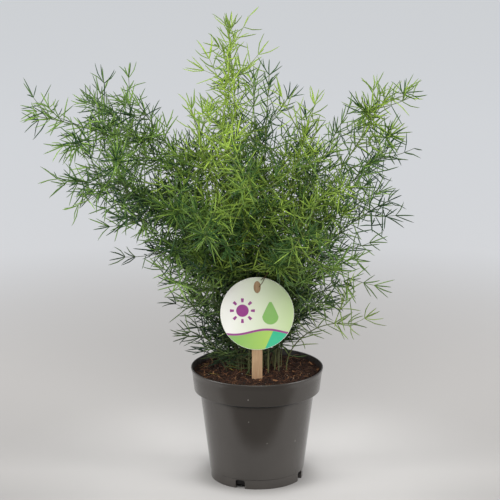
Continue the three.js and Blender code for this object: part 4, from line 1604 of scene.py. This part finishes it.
def needleBlade(tree, given, bend):
    # an even blade with a narrow foot and a short point
    values = {"Start": (0.0, 0.0, 0.0), "End": (0.0, 0.0, 1.0)}
    line = made(tree, "GeometryNodeCurvePrimitiveLine", values)
    values = {"Curve": line, "Count": blade["points"]}
    line = made(tree, "GeometryNodeResampleCurve", values)
    factor = made(tree, "GeometryNodeSplineParameter")
    # the points crowd to both ends, where the width changes
    wave = maths(tree, "SINE", times(tree, factor, 2 * math.pi))
    rise = maths(tree, "SUBTRACT", factor, times(tree, wave, blade["crowding"]))
    bow = times(tree, rise, maths(tree, "SUBTRACT", 1.0, rise))
    bow = times(tree, times(tree, bow, 4 * bend), given["Needle bend"])
    line = stored(tree, line, "along", factor)
    place = scaled(tree, xyz(tree, x=bow, z=rise), given["Needle length"])
    line = made(tree, "GeometryNodeSetPosition", {"Geometry": line, "Position": place})
    footWidth, widening = blade["foot"]
    foot = maths(tree, "MINIMUM", maths(tree, "MULTIPLY_ADD", factor, widening, footWidth), 1.0)
    point = maths(tree, "SUBTRACT", 1.0, maths(tree, "POWER", factor, blade["pointSharpness"]))
    swell = maths(tree, "MAXIMUM", times(tree, foot, point), blade["thinnest"])
    values = {"Resolution": blade["sides"], "Radius": blade["radius"]}
    ring = made(tree, "GeometryNodeCurvePrimitiveCircle", values)
    values = {"Geometry": ring, "Scale": xyz(tree, 1.0, given["Needle thickness"], 1.0)}
    flat = made(tree, "GeometryNodeTransform", values)
    swelled = swept(tree, line, flat, times(tree, swell, given["Needle width"]))
    smooth = made(tree, "GeometryNodeSetShadeSmooth", {"Geometry": swelled})
    return made(tree, "GeometryNodeGeometryToInstance", {0: smooth})


def joined(tree, parts):
    node = tree.nodes.new("GeometryNodeJoinGeometry")
    for part in parts:
        tree.links.new(part, node.inputs[0])
    return node.outputs[0]


def makeFoliageTree():
    inputs = {"Geometry": "Geometry", "Keep clear": "Object", "Material": "Material", "Seed": 0}
    inputs |= {"Lowest corner": "Vector", "Highest corner": "Vector", **needles}
    outputs = {"Geometry": "Geometry"}
    tree, given, out = newGroup("leafySpray", "GeometryNodeTree", inputs, outputs)
    curves = made(tree, "GeometryNodeMeshToCurve", {0: given["Geometry"]})
    many = needlePlaces(tree, given, *twigNodes(tree, given, curves))
    # rounded down to the number of one of the blades
    pick = ownDraw(tree, given, 0.0, len(blade["bends"]) - 0.01, 5)
    values = {
        "Points": roomForNeedles(tree, given, many),
        "Instance": joined(tree, [needleBlade(tree, given, bend) for bend in blade["bends"]]),
        "Pick Instance": True,
        "Instance Index": made(tree, "FunctionNodeFloatToInt", {0: pick}, rounding_mode="FLOOR"),
        "Rotation": attribute(tree, "turned", "QUATERNION"),
        "Scale": xyz(tree, 1.0, 1.0, attribute(tree, "long")),
    }
    placed = made(tree, "GeometryNodeInstanceOnPoints", values)
    placed = stored(tree, placed, "shade", ownDraw(tree, given, 0.0, 1.0, 6), "INSTANCE")
    both = joined(tree, [twigTubes(tree, curves), placed])
    finalShape(tree, both, given["Material"], out[0])
    return tree


# old and young green and bark
greens = {
    "youngGreen": ((0.026, 0.068, 0.014, 1), (0.262, 0.376, 0.052, 1), (0.13, 0.15, 0.045, 1)),
    "matureGreen": ((0.015, 0.044, 0.016, 1), (0.2, 0.33, 0.056, 1), (0.08, 0.095, 0.04, 1)),
}


def foliageMaterial(name):
    material, tree, shader = newMaterial(name, specular=0.2)
    values = dict(zip(("Old", "Young", "Bark"), greens[name]))
    tone = put(tree, "ShaderNodeGroup", values, node_tree=leafTone).outputs
    surface(tree, shader, tone["Color"], tone["Roughness"], (tone["Height"], 0.06, 0.0002))
    return material


# the air before the disc: beyond its edge, and from front to back in the label's plane
guard = {"margin": 3, "front": -60, "back": -2, "segments": 32, "bevel": 0.1}


def solidsCopy():
    # the frame's pot, soil and label and the air before the disc, for the needles to keep clear of
    size = 2 * (label["discRadius"] + guard["margin"])
    edge = arcPoints(size, size, label["discHeight"], guard["segments"])
    air = slabMesh("guard", [edge], guard["front"], guard["back"], guard["bevel"])
    names = ("pot", "soil", "label_disc", "label_stick")
    shape = bmesh.new()
    for part in [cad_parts[name].data for name in names] + [air]:
        shape.from_mesh(part)
    bpy.data.meshes.remove(air)
    mesh = bpy.data.meshes.new("keepClear")
    shape.to_mesh(mesh)
    shape.free()
    return newObject("keepClear", mesh)


# a dry shoot that hangs over the disc's top edge: places in the label's plane, from the edge's top
dryShoot = {
    "places": ((17, 9, 22), (12, 2, 9), (7.5, -2.4, 1), (4.5, -2.6, -5), (1.5, -2.2, -9)),
    "fork": ((7.5, -2.4, 1), (5, -3.2, -1), (3.2, -3.4, -2.5)),
    "girth": 0.34,
    "color": (0.09, 0.055, 0.03, 1),
    "paleColor": (0.2, 0.14, 0.07, 1),
    "seed": 5,
}


def dryMaterial():
    material, tree, shader = newMaterial("dryStem", specular=0.2, Roughness=0.7)
    patches = mottled(tree, objectPlace(tree), 700.0)
    surface(tree, shader, mixed(tree, patches, dryShoot["color"], dryShoot["paleColor"]))
    return material


def makeDryShoot(tree, solids):
    top = label["discHeight"] + label["discRadius"]
    paths = []
    for line in (dryShoot["places"], dryShoot["fork"]):
        points = [labelPlane @ (Vector((x, y, top + z)) * mm) / mm for x, y, z in line]
        paths.append({
            "points": [np.array(p) for p in points],
            "girth": [dryShoot["girth"]] * len(line),
            "leafy": [0] * len(line),
            "youth": [0] * len(line),
        })
    carrier = newObject("paths", pathMesh("paths", paths))
    values = {"Keep clear": solids, "Seed": dryShoot["seed"], "Material": dryMaterial()}
    growWith(carrier, tree, **needles, **values)
    dress(finished(carrier, "dryShoot"), "mature_foliage")


def growFoliage():
    arcs, branches = frameBranches()
    tree = makeFoliageTree()
    solids = solidsCopy()
    materials = {name: foliageMaterial(name) for name in greens}
    margin = Vector([finer["needleMargin"]] * 3) * mm
    for number, (row, (arc, across), kept) in enumerate(zip(stems, arcs, branches), 1):
        name = row[0]
        age = "young" if name in youngStems else "mature"
        paths = makePaths(number, row, arc, across, kept)
        carrier = newObject("paths", pathMesh("paths", paths))
        growWith(carrier, tree, **needles, **{
            "Keep clear": solids,
            "Lowest corner": cadBox[0] + margin,
            "Highest corner": cadBox[1] - margin,
            "Seed": number * 10,
            "Material": materials[age + "Green"],
        })
        piece = finished(carrier, "foliage_" + name)
        # the tree's own attributes aren't read by a material
        for extra in ("share", "leafy", "girth", "amount", "nodeTurn", "long", "turned"):
            if extra in piece.data.attributes:
                piece.data.attributes.remove(piece.data.attributes[extra])
        dress(piece, age + "_foliage", "stem_" + name)
    makeDryShoot(tree, solids)
    bpy.data.objects.remove(solids)


growFoliage()
print("foliage grown")


# stage: a pale floor that runs on behind the plant, softboxes and a dark flag

stage = {
    "radius": 14,
    "segments": 128,
    # distance from the pot in metres, floor colour with a painted shadow at the pot's foot and painted
    # light round it, and the floor's painted glow there
    "tones": [
        (0.0, (0.38, 0.365, 0.35, 1), 0.0),
        (0.045, (0.38, 0.365, 0.35, 1), 0.0),
        (0.062, (0.72, 0.7, 0.68, 1), 0.0),
        (0.1, (0.68, 0.66, 0.64, 1), 0.0),
        (0.17, (0.535, 0.52, 0.505, 1), 0.0),
        (0.26, (0.4, 0.385, 0.372, 1), 0.02),
        (0.45, (0.4, 0.385, 0.372, 1), 0.063),
        (0.64, (0.4, 0.389, 0.382, 1), 0.115),
        (0.85, (0.455, 0.458, 0.47, 1), 0.215),
        (1.6, (0.438, 0.448, 0.472, 1), 0.38),
        (3.0, (0.355, 0.37, 0.39, 1), 0.49),
    ],
    # painted light: the colour of the floor's glow
    "glowColor": (0.96, 0.98, 1.0, 1),
    "grainColor": (0.3, 0.3, 0.3, 1),
    # from, to, and the share of the light at each
    # painted shade: darker before the pot's foot
    "potShade": (0.05, 0.13, 0.76, 0.83),  # before the pot, by how far aside it is
    "potShadeEnd": (-0.055, 0.01),
    # painted shade: darker far out at the sides
    "edgeShade": (0.55, 1.3, 1.0, 0.3),  # out of the picture, below the softboxes at the sides
    # painted light: the floor's glow
    "glowShare": (-0.6, 0.3, 0.25, 1.0),  # less before the plant, where the front softbox is near
    "skyColor": (0.62, 0.635, 0.655, 1),
    "lightColor": (0.93, 0.96, 1.0, 1),
    "lightStrength": 0.32,
    "flagColor": (0.03, 0.028, 0.026, 1),
    "flagEdge": -0.094,
    "flagEnd": -2.4,
    "flagWidth": 5,
    "flagHeight": 0.0004,
}


def toneRamp(tree, share, farthest, colors):
    # one stop for each of the stage's tones
    ramp = put(tree, "ShaderNodeValToRGB", {0: share})
    ramp.color_ramp.interpolation = "B_SPLINE"
    stops = ramp.color_ramp.elements
    while len(stops) < len(colors):
        stops.new(0.5)
    for stop, row, color in zip(stops, stage["tones"], colors):
        stop.position = math.sqrt(row[0]) / farthest
        stop.color = color
    return ramp.outputs[0]


def floorMaterial():
    values = {"Roughness": 0.9, "Emission Color": stage["glowColor"]}
    material, tree, shader = newMaterial("paperFloor", specular=0.1, **values)
    place = objectPlace(tree)
    values = {0: place}
    distance = put(tree, "ShaderNodeVectorMath", values, operation="LENGTH").outputs["Value"]
    # stops by the square root of the distance, so those near the pot aren't crowded
    farthest = math.sqrt(stage["tones"][-1][0])
    share = levels(tree, maths(tree, "SQRT", distance), 0.0, farthest)
    # the floor's colour holds a painted shadow at the pot's foot and painted light round it
    paperWithPaintedLight = toneRamp(tree, share, farthest, [row[1] for row in stage["tones"]])
    # painted light: the floor glows, more the farther it is from the pot
    glow = toneRamp(tree, share, farthest, [(row[2], row[2], row[2], 1) for row in stage["tones"]])
    axes = axesOf(tree, place)
    aside = maths(tree, "ABSOLUTE", axes["X"])
    # painted shade: darker before the pot's foot and far out at the sides
    shade = levels(tree, aside, *stage["potShade"])
    nearer = levels(tree, axes["Y"], *stage["potShadeEnd"], shade, 1.0)
    shown = times(tree, nearer, levels(tree, aside, *stage["edgeShade"]))
    toned = made(tree, "ShaderNodeHueSaturation", {"Value": shown, "Color": paperWithPaintedLight})
    grain = mottled(tree, place, 900.0, high=0.02)
    surface(tree, shader, mixed(tree, grain, toned, stage["grainColor"]))
    # painted light: less glow before the plant
    behind = levels(tree, axes["Y"], *stage["glowShare"])
    tree.links.new(times(tree, glow, behind), shader.inputs["Emission Strength"])
    return material


def makeFloor():
    mesh = bpy.data.meshes.new("paperFloor")
    shape = bmesh.new()
    bmesh.ops.create_circle(shape, cap_ends=True, segments=stage["segments"], radius=stage["radius"])
    shape.to_mesh(mesh)
    shape.free()
    mesh.materials.append(floorMaterial())
    newObject("paperFloor", mesh)


def makeFlag():
    # dark cloth before the plant, seen only mirrored in the pot, gives the wall its dark middle
    half, lift = stage["flagWidth"] / 2, stage["flagHeight"]
    end, edge = stage["flagEnd"], stage["flagEdge"]
    corners = [(-half, end, lift), (half, end, lift), (half, edge, lift), (-half, edge, lift)]
    mesh = bpy.data.meshes.new("darkFlag")
    mesh.from_pydata(corners, [], [(0, 1, 2, 3)])
    values = {"Base Color": stage["flagColor"], "Roughness": 0.9}
    mesh.materials.append(newMaterial("darkCloth", **values)[0])
    flag = newObject("darkFlag", mesh)
    flag.visible_camera = False
    flag.visible_diffuse = False
    flag.visible_shadow = False


softboxes = {
    # name: place, aim, width, height, watts
    "softboxLeft": ((-1.3, -0.4, 0.55), (0, 0, 0.1), 0.9, 0.9, 17.5),
    "softboxRight": ((1.3, -0.4, 0.55), (0, 0, 0.1), 0.9, 0.9, 17.5),
    "softboxTop": ((0, -0.2, 2.2), (0, 0, 0.15), 2.0, 2.0, 26),
    "softboxFront": ((0, -2.2, 1.6), (0, 0, 0.2), 1.2, 0.7, 26),
}


def makeStudio():
    makeFloor()
    makeFlag()
    for name, (place, aim, width, height, watts) in softboxes.items():
        light = bpy.data.lights.new(name, "AREA")
        light.shape = "RECTANGLE"
        light.size = width
        light.size_y = height
        light.energy = watts
        box = newObject(name, light)
        box.location = place
        box.rotation_euler = (Vector(aim) - Vector(place)).to_track_quat("-Z", "Y").to_euler()
        box.visible_camera = False
    world = bpy.data.worlds.new("studio")
    bpy.context.scene.world = world
    world.use_nodes = True
    tree = world.node_tree
    seen = put(tree, "ShaderNodeLightPath").outputs["Is Camera Ray"]
    sky = tree.nodes["Background"]
    tree.links.new(mixed(tree, seen, stage["lightColor"], stage["skyColor"]), sky.inputs["Color"])
    strength = maths(tree, "MULTIPLY_ADD", seen, 1 - stage["lightStrength"], stage["lightStrength"])
    tree.links.new(strength, sky.inputs["Strength"])
    bpy.context.scene.view_settings.view_transform = "Standard"


# in metres, degrees, pixels and millimetres
camera = {
    "place": (-0.0064, -2.3, 0.815),
    "down": 14.67,
    "focal": 2646,
    "picture": 500,
    "sensor": 36,
    "farthest": 50,
}


def makeCamera():
    data = bpy.data.cameras.new("camera")
    data.sensor_width = camera["sensor"]
    data.lens = camera["sensor"] * camera["focal"] / camera["picture"]
    data.clip_end = camera["farthest"]
    thing = bpy.data.objects.new("camera", data)
    thing.location = camera["place"]
    thing.rotation_euler = (math.radians(90 - camera["down"]), 0, 0)
    bpy.context.scene.collection.objects.link(thing)
    bpy.context.scene.camera = thing


makeStudio()
makeCamera()
print("stage set")
